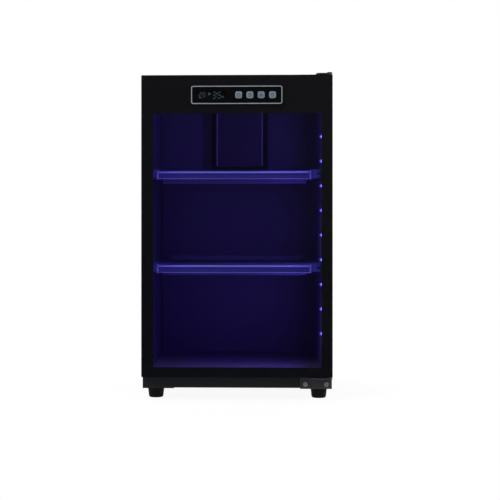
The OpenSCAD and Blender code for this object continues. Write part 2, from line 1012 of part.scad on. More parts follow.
// Shell of the drying unit with slanted louvred sides
module drying_unit_cover() {
    top = unit_z + unit_h;
    color([0.16, 0.14, 0.26])
        difference() {
            translate([0, 0, unit_z])
                linear_extrude(unit_h)
                    unit_plan(0, y_panel);
            translate([0, 0, unit_z + unit_wall])
                linear_extrude(unit_h - 2 * unit_wall)
                    unit_plan(unit_wall, y_panel + overrun);
            for (s = [-1, 1])
                for (i = [0 : louvre_count - 1])
                    louvre(s, top - louvre_low - i * louvre_pitch);
            front_plate(y_panel - unit_d - overrun, y_panel - unit_d + panel_deep)
                translate([0, unit_z + unit_h / 2])
                    round_rect(unit_w - 2 * unit_slant - 2 * panel_inset,
                               unit_h - 2 * panel_inset, panel_inset / 2);
        }
}

// One louvre of a slanted side: a slot that runs along the side and falls outward
module louvre(s, z) {
    length = norm([unit_slant, unit_d - unit_side]) - 2 * louvre_end;
    x = unit_w / 2 - unit_slant / 2;
    y = y_panel - (unit_d + unit_side) / 2;
    reach = 2 * unit_wall;
    translate([s * x, y, z])
        rotate([0, 0, -s * unit_angle()])
            rotate([0, s * louvre_tilt, 0])
                block(-reach, reach, -length / 2, length / 2, -louvre_gap / 2, louvre_gap / 2);
}

// A finned aluminium sink: base from y0 to y1, and upright fins from there to y2
module sink(y0, y1, y2) {
    pitch = (sink_w - sink_fin_t) / (sink_fins - 1);
    color(steel_color)
        translate([0, 0, sink_z - sink_h / 2])
            linear_extrude(sink_h) {
                rect(-sink_w / 2, sink_w / 2, min(y0, y1), max(y0, y1));
                for (i = [0 : sink_fins - 1])
                    translate([i * pitch - sink_w / 2, 0])
                        rect(0, sink_fin_t, min(y0, y2), max(y0, y2));
            }
}

// Sink inside the unit that moisture settles on
module cold_sink() {
    y = y_back - tec_t;
    sink(y, y - sink_base, y - sink_base - cold_fin);
}

// Sink under the rear vent cover that gives off the heat
module hot_sink() {
    sink(y_back, y_back + hot_base, y_back + hot_base + hot_fin);
}

// Thermoelectric cooler between the two sinks
module thermoelectric_module() {
    color([0.92, 0.92, 0.90])
        block(-tec_s / 2, tec_s / 2, y_back - tec_t, y_back, sink_z - tec_s / 2,
              sink_z + tec_s / 2);
}

// Foam between the cold sink and the back panel
module insulation_frame() {
    color(dark_color)
        front_plate(y_back - tec_t, y_panel)
            difference() {
                rect(-foam_s / 2, foam_s / 2, sink_z - foam_s / 2, sink_z + foam_s / 2);
                rect(-tec_hole / 2, tec_hole / 2, sink_z - tec_hole / 2, sink_z + tec_hole / 2);
            }
}

function wick_z() = sink_z - sink_h / 2 - seat_gap - wick_t;

// Felt that leads the water out to the warm sink
module condensate_wick() {
    color([0.80, 0.78, 0.72])
        block(-wick_w / 2, wick_w / 2, y_panel - wick_in, y_back + wick_out, wick_z(),
              wick_z() + wick_t);
}

function vent_screw_places() = [
    for (sx = [-1, 1], sz = [-1, 1])
        [sx * (vent_w / 2 - vent_flange / 2), sink_z + sz * (vent_h / 2 - vent_flange / 2)]
];

// Slotted cover over the warm sink on the back
module rear_vent_cover() {
    span = (vent_slots - 1) * vent_slot_pitch;
    y_face = y_back + vent_d;
    color(case_color)
        difference() {
            union() {
                front_plate(y_back, y_back + vent_wall)
                    translate([0, sink_z])
                        round_rect(vent_w, vent_h, vent_r);
                front_plate(y_back, y_face)
                    translate([0, sink_z])
                        round_rect(vent_w - 2 * vent_flange, vent_h - 2 * vent_flange, vent_r);
            }
            front_plate(y_back - overrun, y_face - vent_wall)
                translate([0, sink_z])
                    round_rect(vent_w - 2 * vent_flange - 2 * vent_wall,
                               vent_h - 2 * vent_flange - 2 * vent_wall, vent_r - vent_wall);
            for (i = [0 : vent_slots - 1])
                front_plate(y_face - vent_wall - overrun, y_face + overrun)
                    translate([0, sink_z - span / 2 + i * vent_slot_pitch])
                        round_rect(vent_slot_w, vent_slot_h, vent_slot_h / 2);
            for (p = vent_screw_places())
                rod_y(p[0], p[1], y_back - overrun, y_face, panel_screw_d + slip);
        }
}

// Slotted cap under the roof with the humidity sensor behind it
module humidity_sensor() {
    color(dark_color)
        translate([sensor_x, y_case + sensor_y, roof_z - sensor_h])
            difference() {
                cylinder(d = sensor_d, h = sensor_h);
                for (i = [0 : sensor_slots - 1])
                    rotate([0, 0, i * 360 / sensor_slots])
                        block(sensor_d / 4, sensor_d, -sensor_slot_w / 2, sensor_slot_w / 2,
                              sensor_cap, sensor_cap + sensor_slot_h);
            }
}

// Barrel socket for the mains adapter's plug, with its centre pin
module power_inlet() {
    z = case_z + inlet_rise;
    y_end = y_back + inlet_flange_t;
    color(dark_color) {
        difference() {
            union() {
                rod_y(x_left + inlet_in, z, y_back, y_end, inlet_flange_d);
                rod_y(x_left + inlet_in, z, y_back - inlet_body, y_back + overrun, inlet_d);
            }
            rod_y(x_left + inlet_in, z, y_end - inlet_bore_l, y_end + overrun, inlet_bore_d);
        }
        rod_y(x_left + inlet_in, z, y_end - inlet_bore_l - overrun, y_end - overrun, inlet_pin_d);
    }
}

// Power board on four posts in the base, with its coil, capacitors and driver chip
module power_board() {
    y1 = y_panel - board_gap;
    z = case_z + sheet_t + board_rise;
    color(board_color) {
        block(-board_w / 2, board_w / 2, y1 - board_d, y1, z, z + board_t);
        for (sx = [-1, 1], y = [y1 - board_edge, y1 - board_d + board_edge])
            rod_z(sx * (board_w / 2 - board_edge), y, case_z + sheet_t, z + board_t / 2, post_d);
        block(-coil_s, 0, y1 - board_d / 2 - coil_s / 2, y1 - board_d / 2 + coil_s / 2,
              z + board_t / 2, z + board_t + coil_h);
        for (i = [1, 2])
            rod_z(i * coil_s - cap_d / 2, y1 - board_d / 2, z + board_t / 2,
                  z + board_t + cap_h, cap_d);
        block(-board_w / 2 + cap_d, chip_s + cap_d - board_w / 2, y1 - board_d / 2,
              y1 - board_d / 2 + chip_s, z + board_t / 2, z + board_t + chip_h);
    }
}

// The door's outline, centred on the door
module door_outline() {
    translate([0, (door_z + door_top) / 2])
        round_rect(body_w, door_top - door_z, door_edge_r);
}

// The window, made larger all round by grow
module window(grow) {
    r = window_r + grow;
    translate([(stile_left - stile_right) / 2, (window_z + window_top) / 2])
        round_rect(body_w - stile_left - stile_right + 2 * grow,
                   window_top - window_z + 2 * grow, r);
}

// The strip's outline, drawn in by inset
module strip_outline(inset) {
    translate([0, strip_z])
        round_rect(strip_w - 2 * inset, strip_h - 2 * inset, max(strip_r - inset, slip));
}

// Toughened glass over the whole front, with a hole for the controls
module door_glass() {
    color([0.35, 0.40, 0.45, 0.35])
        front_plate(y_glass, y_tape)
            difference() {
                door_outline();
                strip_outline(hole_inset());
            }
}

// Dark print behind the glass, round the window
module window_mask() {
    color(dark_color)
        front_plate(y_tape, y_tape + mask_t)
            difference() {
                door_outline();
                window(0);
                strip_outline(hole_inset());
            }
}

// Foam tape that holds the glass on the frame
module glass_tape() {
    color(dark_color)
        front_plate(y_tape + mask_t, y_frame)
            difference() {
                door_outline();
                window(frame_room);
                strip_outline(hole_inset());
            }
}

// Moulded frame: a ring round the window, a pocket for the controls and a finger cove
module door_frame() {
    color(dark_color)
        difference() {
            front_plate(y_frame, y_door)
                difference() {
                    door_outline();
                    window(frame_room);
                }
            front_plate(y_frame + frame_front, y_door + overrun)
                header_pocket(0);
            front_plate(y_door - cover_t, y_door + overrun)
                header_pocket(cover_lap);
            front_plate(y_frame - overrun, y_frame + frame_front + overrun)
                strip_outline(hole_inset());
            rod_z(x_left - grip_out, (y_frame + y_door) / 2, (door_z + door_top - grip_l) / 2,
                  (door_z + door_top + grip_l) / 2, 2 * grip_r);
            for (z = [[door_top - pin_reach - overrun, door_top + overrun],
                      [door_z - overrun, door_z + pin_reach + overrun]])
                rod_z(x_pin, y_pin, z[0], z[1], pin_d + 2 * pin_clear + 2 * bush_wall);
            for (p = cover_screw_places())
                rod_y(p[0], p[1], y_door - cover_t - cover_post, y_door, cover_screw_d + slip);
        }
}

// The hollow behind the header for the control board, as a flat shape grown by lap
module header_pocket(lap) {
    translate([0, (header_low() + header_high()) / 2])
        round_rect(body_w - 2 * pocket_side + 2 * lap, header_high() - header_low() + 2 * lap,
                   pocket_r + lap);
}

function header_low() = window_top + pocket_low;
function header_high() = door_top - pocket_high;

function cover_screw_places() = [
    for (sx = [-1, 1], z = [header_low() - cover_lap / 2, header_high() + cover_lap / 2])
        [sx * (body_w / 2 - pocket_side - cover_screw_in), z]
];

// Cover over the hollow of the header, flush with the frame's back
module header_cover() {
    color(dark_color)
        difference() {
            front_plate(y_door - cover_t, y_door)
                header_pocket(cover_lap - cover_gap);
            for (p = cover_screw_places())
                rod_y(p[0], p[1], y_door - cover_t - overrun, y_door + overrun,
                      cover_screw_d + slip);
        }
}

module header_screws() {
    color(steel_color)
        for (p = cover_screw_places()) {
            rod_y(p[0], p[1], y_door - cover_t - cover_post + overrun, y_door, cover_screw_d);
            rod_y(p[0], p[1], y_door, y_door + cover_head_t, cover_head_d);
        }
}

// The seal's ring, drawn in by inset on both of its sides
module seal_ring(inset) {
    x0 = x_left + seal_edge;
    x1 = x_right - (side_right - seal_w) / 2;
    z0 = door_z + seal_edge;
    z1 = door_top - seal_edge;
    translate([(x0 + x1) / 2, (z0 + z1) / 2])
        difference() {
            round_rect(x1 - x0 - 2 * inset, z1 - z0 - 2 * inset, seal_r + seal_w - inset);
            round_rect(x1 - x0 - 2 * seal_w + 2 * inset, z1 - z0 - 2 * seal_w + 2 * inset,
                       seal_r + inset);
        }
}

// Magnetic seal on the back of the door: a flat base and a narrower crown
module door_seal() {
    color([0.08, 0.08, 0.09]) {
        front_plate(y_door, y_door + seal_base)
            seal_ring(0);
        front_plate(y_door + seal_base, y_case - seat_gap)
            seal_ring((seal_w - seal_crown) / 2);
    }
}

// Flanged bushes in the door's top and bottom that turn on the hinge pins
module hinge_bushes() {
    bore = pin_d + 2 * pin_clear;
    color([0.80, 0.80, 0.78])
        for (end = [[door_top, half_turn], [door_z, 0]])
            translate([x_pin, y_pin, end[0]])
                rotate([end[1], 0, 0])
                    difference() {
                        union() {
                            cylinder(d = bore + 2 * bush_wall, h = pin_reach + overrun);
                            translate([0, 0, -bush_flange_t])
                                cylinder(d = bush_flange_d, h = bush_flange_t);
                        }
                        translate([0, 0, -bush_flange_t - overrun])
                            cylinder(d = bore, h = pin_reach + bush_flange_t + overrun);
                    }
}

function key_x(i) = key_first + i * key_pitch;

// A key's outline, grown by lap
module key_outline(i, lap) {
    translate([key_x(i), strip_z])
        round_rect(key_s + 2 * lap, key_s + 2 * lap, key_r + lap);
}

// The display window's outline, grown by lap
module display_outline(lap) {
    translate([-display_x, strip_z])
        round_rect(display_w + 2 * lap, display_h + 2 * lap, display_r + lap);
}

// Bright frame round the controls, with a skirt through the glass
module control_bezel() {
    color(pale_color) {
        front_plate(y_glass - strip_proud, y_glass)
            difference() {
                strip_outline(0);
                strip_outline(strip_line);
            }
        front_plate(y_glass - strip_proud / 2, y_tape)
            difference() {
                strip_outline(strip_line - skirt_t);
                strip_outline(strip_line);
            }
    }
}

// Dark panel with holes for the keys and the display, flanged behind the door frame
module control_fascia() {
    color(dark_color)
        difference() {
            union() {
                front_plate(y_fascia, y_circuit)
                    strip_outline(strip_line + slip);
                front_plate(y_circuit - fascia_flange_t, y_circuit)
                    strip_outline(hole_inset() - fascia_flange);
            }
            front_plate(y_plate, y_circuit + overrun)
                strip_outline(strip_line + slip + fascia_wall);
            front_plate(y_fascia - overrun, y_plate + overrun) {
                for (i = [0 : len(key_names) - 1])
                    key_outline(i, slip);
                display_outline(slip);
            }
        }
}

function hole_inset() = strip_line - skirt_t - slip;

// Smoked lens, stepped so that its edge sits behind the fascia
module display_window() {
    color([0.10, 0.11, 0.13, 0.8]) {
        front_plate(y_fascia, y_plate)
            display_outline(0);
        front_plate(y_plate, y_plate + lens_t)
            display_outline(lens_lap);
    }
}

// Liquid crystal display with its backlight, standing on the board
module display_module() {
    color([0.20, 0.24, 0.26])
        front_plate(y_plate + lens_t + seat_gap, y_circuit)
            display_outline(0);
}

module control_board() {
    chip_x = -display_x;
    color(board_color) {
        front_plate(y_circuit, y_circuit + circuit_t)
            strip_outline(circuit_inset);
        front_plate(y_circuit + circuit_t / 2, y_circuit + circuit_t + chip_h)
            translate([chip_x, strip_z])
                square(chip_s, center = true);
        front_plate(y_circuit + circuit_t / 2, y_circuit + circuit_t + plug_h)
            translate([key_x(1), strip_z - key_s / 2])
                square([plug_w, plug_h], center = true);
    }
}

// The four push switches behind the keys
module key_switches() {
    color(steel_color)
        for (i = [0 : len(key_names) - 1])
            front_plate(y_circuit - switch_h, y_circuit)
                translate([key_x(i), strip_z])
                    square(switch_s, center = true);
}

// A key: cap, flange behind the fascia and a stem towards its switch
module key(i) {
    y_flange = y_plate + seat_gap;
    color(pale_color) {
        front_plate(y_fascia - key_proud, y_flange + key_flange_t)
            key_outline(i, 0);
        front_plate(y_flange, y_flange + key_flange_t)
            key_outline(i, key_flange);
        rod_y(key_x(i), strip_z, y_flange, y_circuit - switch_h - key_travel - seat_gap,
              key_stem_d);
    }
}

module power_key() {
    key(0);
}

module menu_key() {
    key(1);
}

module up_key() {
    key(2);
}

module light_key() {
    key(3);
}

outer_case();
back_panel();
base_pan();
left_lining();
right_lining();
cable_duct();
floor_mat();
corner_plates();
feet();
foot_screws();
panel_screws();
lower_hinge_plate();
upper_hinge_plate();
hinge_pins();
hinge_screws();
led_bar();
led_tape();
led_chips();
upper_shelf_rails();
lower_shelf_rails();
drying_unit_cover();
cold_sink();
thermoelectric_module();
insulation_frame();
hot_sink();
condensate_wick();
rear_vent_cover();
humidity_sensor();
power_inlet();
power_board();
door_glass();
window_mask();
glass_tape();
door_frame();
header_cover();
header_screws();
door_seal();
hinge_bushes();
control_bezel();
control_fascia();
display_window();
display_module();
control_board();
key_switches();
power_key();
menu_key();
up_key();
light_key();
upper_shelf();
upper_shelf_trim();
upper_shelf_glides();
lower_shelf();
lower_shelf_trim();
lower_shelf_glides();
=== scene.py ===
"""Looks of the camera dry cabinet: materials, small details, lamps, floor and camera."""

import json
import math

import bmesh
import bpy
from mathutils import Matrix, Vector


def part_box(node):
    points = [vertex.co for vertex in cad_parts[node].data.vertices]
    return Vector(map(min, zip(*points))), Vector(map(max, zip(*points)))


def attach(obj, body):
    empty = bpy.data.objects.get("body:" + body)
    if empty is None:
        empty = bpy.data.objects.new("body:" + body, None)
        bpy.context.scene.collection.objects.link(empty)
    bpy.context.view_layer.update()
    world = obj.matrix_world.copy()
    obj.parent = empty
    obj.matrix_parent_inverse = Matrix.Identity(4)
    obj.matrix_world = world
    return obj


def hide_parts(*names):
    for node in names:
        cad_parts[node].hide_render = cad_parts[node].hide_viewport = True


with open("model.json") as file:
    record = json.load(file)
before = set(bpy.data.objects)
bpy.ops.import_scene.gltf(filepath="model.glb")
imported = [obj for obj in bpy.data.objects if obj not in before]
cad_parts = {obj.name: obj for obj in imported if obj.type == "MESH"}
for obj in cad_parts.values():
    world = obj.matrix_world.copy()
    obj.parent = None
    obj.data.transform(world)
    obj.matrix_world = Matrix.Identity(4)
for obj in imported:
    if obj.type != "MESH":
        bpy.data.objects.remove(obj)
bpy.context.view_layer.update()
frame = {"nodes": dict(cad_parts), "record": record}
NODES = frame["nodes"]
MM = 0.001

# Camera: the eye in metres, its turn about Z in radians, and the photograph's frame in pixels
EYE = (0.0501, -2.699, 0.3622)
EYE_YAW = 0.03041
FOCAL_PX = 1228.8
MIDDLE_PX = (223.95, 223.22)
FRAME_PX = 500
SENSOR_MM = 36.0
NEAR = 0.05
FAR = 50.0


def place_camera():
    data = bpy.data.cameras.new("camera")
    data.sensor_width = SENSOR_MM
    data.lens = FOCAL_PX / FRAME_PX * SENSOR_MM
    data.shift_x = (FRAME_PX / 2 - MIDDLE_PX[0]) / FRAME_PX
    data.shift_y = (MIDDLE_PX[1] - FRAME_PX / 2) / FRAME_PX
    data.clip_start = NEAR
    data.clip_end = FAR
    camera = bpy.data.objects.new("camera", data)
    bpy.context.scene.collection.objects.link(camera)
    camera.location = EYE
    camera.rotation_euler = (math.pi / 2, 0, EYE_YAW)
    bpy.context.scene.camera = camera


# Node trees


def feed(tree, socket, value):
    """Links a socket to another node's output, or sets it to a plain value."""
    if isinstance(value, bpy.types.NodeSocket):
        tree.links.new(value, socket)
    else:
        socket.default_value = value


def add_node(tree, kind, inputs=None, **settings):
    """A node with these settings, its inputs fed by name or by number."""
    node = tree.nodes.new("ShaderNode" + kind)
    for key, value in settings.items():
        setattr(node, key, value)
    for key, value in (inputs or {}).items():
        feed(tree, node.inputs[key], value)
    return node


def map_range(tree, value, from_min, from_max, to_min, to_max, curve="LINEAR"):
    """Maps value from one range to another."""
    node = add_node(tree, "MapRange", {"Value": value, "From Min": from_min, "From Max": from_max,
                                       "To Min": to_min, "To Max": to_max},
                    interpolation_type=curve)
    return node.outputs["Result"]


def blend_number(tree, share, a, b):
    """From a at share 0 to b at share 1."""
    node = add_node(tree, "Mix", {"Factor": share, "A": a, "B": b}, data_type="FLOAT")
    return node.outputs["Result"]


def blend_color(tree, share, a, b):
    node = add_node(tree, "Mix", {"Factor": share, "A": a, "B": b}, data_type="RGBA")
    return node.outputs["Result"]


def blend_shader(tree, share, a, b):
    return add_node(tree, "MixShader", {"Fac": share, 1: a, 2: b}).outputs["Shader"]


def calculate(tree, kind, *values):
    """The result of one kind of sum on values or sockets."""
    node = add_node(tree, "Math", dict(enumerate(values)), operation=kind)
    return node.outputs["Value"]


def empty_material(name):
    """A material with no nodes yet."""
    material = bpy.data.materials.new(name)
    material.use_nodes = True
    material.node_tree.nodes.clear()
    return material


# Materials. Colours are linear, noise scales are in waves a metre, and depths are in metres.

# The part of a noise's span that most of its values lie in
NOISE_LOW = 0.35
NOISE_HIGH = 0.65

# A rounded normal this close to the flat one is still fully an edge, or no edge any more
EDGE_FULL = 0.72
EDGE_NONE = 0.98

# Paler edges, partly rubbed wear and partly a painted highlight, are broken up into patches, which
# keep at least this share of it
PATCH_SCALE = 120
PATCH_SHARE = 0.1
PATCH_HIGH = 0.6


class Paint:
    """One material and the nodes that feed its Principled shader."""

    def __init__(self, name, color, roughness=0.5, metallic=0.0, **sockets):
        self.material = bpy.data.materials.new(name)
        self.material.use_nodes = True
        self.tree = self.material.node_tree
        self.shader = self.tree.nodes["Principled BSDF"]
        self.color = tuple(color)
        self.set("Base Color", (*color, 1))
        self.set("Roughness", roughness)
        self.set("Metallic", metallic)
        for key, value in sockets.items():
            self.set(key.replace("_", " "), value)
        self.place = add_node(self.tree, "TexCoord").outputs
        self.height = None
        self.tone = None

    def set(self, socket, value):
        feed(self.tree, self.shader.inputs[socket], value)

    def scaled(self, scale):
        """Object coordinates stretched by scale, a number or three."""
        if isinstance(scale, (int, float)):
            scale = (scale,) * 3
        node = add_node(self.tree, "Mapping", {"Vector": self.place["Object"], "Scale": scale})
        return node.outputs["Vector"]

    def noise(self, scale, detail=3.0, rough=0.55, distortion=0.0):
        node = add_node(self.tree, "TexNoise",
                        {"Vector": self.scaled(scale), "Scale": 1.0, "Detail": detail,
                         "Roughness": rough, "Distortion": distortion})
        return node.outputs["Fac"]

    def cells(self, scale, smooth):
        node = add_node(self.tree, "TexVoronoi",
                        {"Vector": self.scaled(scale), "Scale": 1.0, "Smoothness": smooth},
                        feature="SMOOTH_F1")
        return node.outputs["Distance"]

    def ribs(self, scale, direction):
        node = add_node(self.tree, "TexWave", {"Vector": self.place["Object"], "Scale": scale},
                        wave_type="BANDS", bands_direction=direction, wave_profile="SIN")
        return node.outputs["Fac"]

    def spread(self, value, low, high, start=NOISE_LOW, end=NOISE_HIGH):
        """Maps value from start..end to low..high."""
        return map_range(self.tree, value, start, end, low, high)

    def shade(self, value, low, high, start=NOISE_LOW, end=NOISE_HIGH):
        """Varies the colour between low and high times the base colour."""
        dark = (*(low * c for c in self.color), 1)
        light = (*(high * c for c in self.color), 1)
        share = self.spread(value, 0, 1, start, end)
        self.tone = blend_color(self.tree, share, dark, light)
        self.set("Base Color", self.tone)

    def soften(self, radius, wear_and_highlight=0.0, worn_and_lit=None):
        """Rounds the edges by a small radius and blends their colour towards a paler one by a share:
        partly rubbed wear, partly a painted highlight.
        """
        bevel = add_node(self.tree, "Bevel", {"Radius": radius}, samples=4)
        self.height = bevel.outputs["Normal"]
        self.set("Normal", self.height)
        if not wear_and_highlight:
            return
        flat = add_node(self.tree, "NewGeometry").outputs["Normal"]
        dot = add_node(self.tree, "VectorMath", {0: self.height, 1: flat}, operation="DOT_PRODUCT")
        edge = self.spread(dot.outputs["Value"], wear_and_highlight, 0.0, EDGE_FULL, EDGE_NONE)
        patches = self.spread(self.noise(PATCH_SCALE, 4), PATCH_SHARE, 1.0, NOISE_LOW, PATCH_HIGH)
        rubbed_and_lit = calculate(self.tree, "MULTIPLY", edge, patches)
        self.set("Base Color", blend_color(self.tree, rubbed_and_lit, self.tone, (*worn_and_lit, 1)))

    def roughen(self, value, low, high):
        self.set("Roughness", self.spread(value, low, high))

    def bump(self, value, depth, strength):
        """Adds a bump of that depth over the earlier ones."""
        node = add_node(self.tree, "Bump", {"Strength": strength, "Distance": depth, "Height": value})
        if self.height is not None:
            feed(self.tree, node.inputs["Normal"], self.height)
        self.height = node.outputs["Normal"]
        self.set("Normal", self.height)


def orange_peel(paint, roughness):
    """The fine skin of sprayed paint, with soft changes of its gloss."""
    paint.roughen(paint.noise(40), roughness - 0.01, roughness + 0.02)
    paint.bump(paint.noise(900, 2, 0.5), 0.06 * MM, 0.35)
    paint.bump(paint.cells(420, 0.8), 0.05 * MM, 0.25)


def powder(name, color, roughness, gloss=0.35, worn_and_lit=(0.09, 0.09, 0.095)):
    """Powder coat: fine orange peel, soft clouds, and paler edges, partly rubbed by hands and partly
    a painted highlight.
    """
    p = Paint(name, color, roughness, Specular_IOR_Level=gloss)
    p.shade(p.noise(9), 0.97, 1.03)
    p.soften(0.7 * MM, 0.5, worn_and_lit)
    orange_peel(p, roughness)
    return p.material


def two_sided(name, inside, outside, roughness):
    """Powder coat in one tone on the faces towards the front, and another on all others, so that
    painted light can lighten only the inner faces.
    """
    p = Paint(name, inside, roughness, Specular_IOR_Level=0.2)
    p.shade(p.noise(9), 0.97, 1.03)
    normal = add_node(p.tree, "SeparateXYZ", {"Vector": p.place["Normal"]})
    not_front = calculate(p.tree, "GREATER_THAN", normal.outputs["Y"], -0.5)
    p.set("Base Color", blend_color(p.tree, not_front, p.tone, (*outside, 1)))
    orange_peel(p, roughness)
    return p.material


def plastic(name, color, roughness, grain=1.0, gloss=0.4, worn_and_lit=None, radius=0.5 * MM, wear_and_highlight=0.35):
    """Moulded plastic with a fine spark-eroded grain."""
    p = Paint(name, color, roughness, Specular_IOR_Level=gloss)
    p.shade(p.noise(30), 0.92, 1.09)
    # Paler edges: partly rubbed wear, partly a painted highlight.
    p.soften(radius, wear_and_highlight, worn_and_lit or tuple(1.8 * c + 0.01 for c in color))
    p.roughen(p.noise(220), roughness - 0.04, roughness + 0.06)
    p.bump(p.cells(1500, 0.2), 0.04 * MM * grain, 0.4)
    return p.material


def metal(name, color, roughness, direction, streak):
    """Metal with fine streaks along one axis."""
    p = Paint(name, color, roughness, 1.0)
    stretch = [8 if axis == direction else streak for axis in "XYZ"]
    grain = p.noise(stretch, 2, 0.6)
    p.shade(grain, 0.86, 1.08)
    p.soften(0.3 * MM)
    p.roughen(grain, roughness - 0.06, roughness + 0.1)
    p.bump(grain, 0.02 * MM, 0.3)
    return p.material


def rubber(name, color, roughness, gloss=0.5):
    p = Paint(name, color, roughness, Specular_IOR_Level=gloss)
    p.shade(p.noise(50, 4), 0.8, 1.2)
    p.roughen(p.noise(300), roughness - 0.08, roughness + 0.1)
    p.bump(p.noise(1400, 3, 0.6), 0.08 * MM, 0.5)
    return p.material


def mat_rubber(name, color):
    """Soft mat with fine crosswise ribs and a felted surface."""
    p = Paint(name, color, 0.85)
    p.shade(p.noise(26, 5), 0.8, 1.2)
    p.bump(p.ribs(52, "Y"), 0.6 * MM, 0.5)
    p.bump(p.noise(1800, 3, 0.7), 0.2 * MM, 0.5)
    return p.material


def circuit_board(name, color):
    """Solder mask with a faint weave and copper tracks under it."""
    p = Paint(name, color, 0.35, Coat_Weight=0.4, Coat_Roughness=0.15)
    tracks = p.cells(260, 0.0)
    p.shade(tracks, 0.75, 1.5, 0.1, 0.5)
    p.bump(tracks, 0.04 * MM, 0.5)
    p.bump(p.noise(2500, 1), 0.02 * MM, 0.3)
    return p.material


def felt(name, color):
    p = Paint(name, color, 0.95, Sheen_Weight=0.4, Sheen_Roughness=0.7)
    p.shade(p.noise(900, 4, 0.7, 1.5), 0.7, 1.15)
    p.bump(p.noise(1600, 4, 0.7, 2.0), 0.3 * MM, 0.7)
    return p.material


def foam(name, color):
    p = Paint(name, color, 0.92)
    pores = p.cells(1200, 0.1)
    p.shade(pores, 0.6, 1.3, 0.1, 0.7)
    p.bump(pores, 0.3 * MM, 0.7)
    return p.material


def satin_extrusion(name, color, worn_and_lit):
    """Satin, painted extrusion with long streaks from the die along X."""
    p = Paint(name, color, 0.34, Specular_IOR_Level=0.4)
    grain = p.noise((5, 700, 700), 3, 0.6)
    p.shade(grain, 0.85, 1.15)
    # Paler edges: partly rubbed wear, partly a painted highlight.
    p.soften(0.4 * MM, 0.5, worn_and_lit)
    p.roughen(grain, 0.28, 0.42)
    p.bump(grain, 0.03 * MM, 0.3)
    return p.material


def ceramic_print(name, color):
    """Ceramic print seen through the glass, a touch lighter in fine dots."""
    p = Paint(name, color, 0.4, Specular_IOR_Level=0.1)
    p.shade(p.noise(700, 2), 0.85, 1.2)
    p.roughen(p.noise(260), 0.34, 0.48)
    return p.material


def glowing(name, color, glow, strength, roughness=0.3):
    """A lamp's lens or a lit sign."""
    p = Paint(name, color, roughness)
    p.set("Emission Color", (*glow, 1))
    p.set("Emission Strength", strength)
    p.roughen(p.noise(900, 2), roughness - 0.1, roughness + 0.1)
    return p.material


def clear(name, tint, fresnel=1.45, roughness=0.02, smudge=0.02):
    """Glass that lets lamps through, with a gloss on the faces where light comes in."""
    material = empty_material(name)
    tree = material.node_tree
    place = add_node(tree, "TexCoord").outputs["Object"]
    cloud = add_node(tree, "TexNoise", {"Vector": place, "Scale": 9, "Detail": 4}).outputs["Fac"]
    smear = map_range(tree, cloud, 0.4, 0.7, roughness, roughness + smudge)
    gloss = add_node(tree, "BsdfGlossy", {"Color": (1, 1, 1, 1), "Roughness": smear})
    through = add_node(tree, "BsdfTransparent", {"Color": (*tint, 1)})
    mirrored = add_node(tree, "Fresnel", {"IOR": fresnel}).outputs["Fac"]
    leaving = add_node(tree, "NewGeometry").outputs["Backfacing"]
    entering = calculate(tree, "SUBTRACT", 1.0, leaving)
    share = calculate(tree, "MULTIPLY", mirrored, entering)
    surface = blend_shader(tree, share, through.outputs["BSDF"], gloss.outputs["BSDF"])
    add_node(tree, "OutputMaterial", {"Surface": surface})
    return material


def soft_glow(name, glow, strength):
    """Cloudy resin that glows, and thins out to clear at its rim."""
    material = empty_material(name)
    tree = material.node_tree
    facing = add_node(tree, "LayerWeight", {"Blend": 0.35}).outputs["Facing"]
    body = map_range(tree, facing, 0.0, 0.85, 0.5, 0.0)
    through = add_node(tree, "BsdfTransparent").outputs["BSDF"]
    light = add_node(tree, "Emission", {"Color": (*glow, 1), "Strength": strength})
    surface = blend_shader(tree, body, through, light.outputs["Emission"])
    add_node(tree, "OutputMaterial", {"Surface": surface})
    return material


CASE_TONE = (0.0105, 0.0120, 0.0150)

# Sheet metal and what is painted with it
CASE = powder("case_paint", CASE_TONE, 0.42, gloss=0.2, worn_and_lit=(0.04, 0.042, 0.046))
LINING = powder("lining_paint", (0.0245, 0.0210, 0.0310), 0.5, gloss=0.25, worn_and_lit=(0.045, 0.04, 0.055))
# The right lining is painted about three times lighter than the left: painted light standing in for
# the light on that wall.
LINING_PAINTED_LIGHT = powder("lining_painted_light", (0.070, 0.060, 0.098), 0.5, gloss=0.25, worn_and_lit=(0.08, 0.07, 0.10))
# The back panel's inner face is painted lighter than the lining: painted light on the back wall. Its
# outer faces keep the case tone.
BACK_PAINTED_LIGHT = two_sided("back_paint_painted_light", (0.030, 0.025, 0.037), CASE_TONE, 0.45)
# The rails' navy blue is partly painted light: the glow of the violet lamps on the rail ends, put
# into their colour.
RAIL_PAINTED_LIGHT = powder("rail_paint_painted_light", (0.030, 0.035, 0.090), 0.45, gloss=0.3)
HINGE = powder("hinge_paint", (0.030, 0.030, 0.036), 0.38)
TRAY = powder("tray_paint", (0.034, 0.032, 0.046), 0.42)
COVER = powder("cover_paint", (0.0095, 0.0078, 0.0110), 0.5, gloss=0.2)
# Pale paint on the cover's rolled corners: a painted highlight along those edges.
EDGE_PAINTED_HIGHLIGHT = powder("edge_painted_highlight", (0.115, 0.105, 0.135), 0.4, worn_and_lit=(0.16, 0.15, 0.19))
TRIM = satin_extrusion("trim_aluminium", (0.0135, 0.0175, 0.0370), (0.04, 0.05, 0.09))

# Bare metal
SCREW = metal("screw_steel", (0.40, 0.405, 0.44), 0.36, "Z", 900)
PIN = metal("pin_steel", (0.075, 0.078, 0.085), 0.32, "Z", 900)
SINK = metal("sink_aluminium", (0.66, 0.68, 0.70), 0.36, "Z", 1200)
BAR = metal("bar_aluminium", (0.25, 0.26, 0.32), 0.5, "Z", 1200)
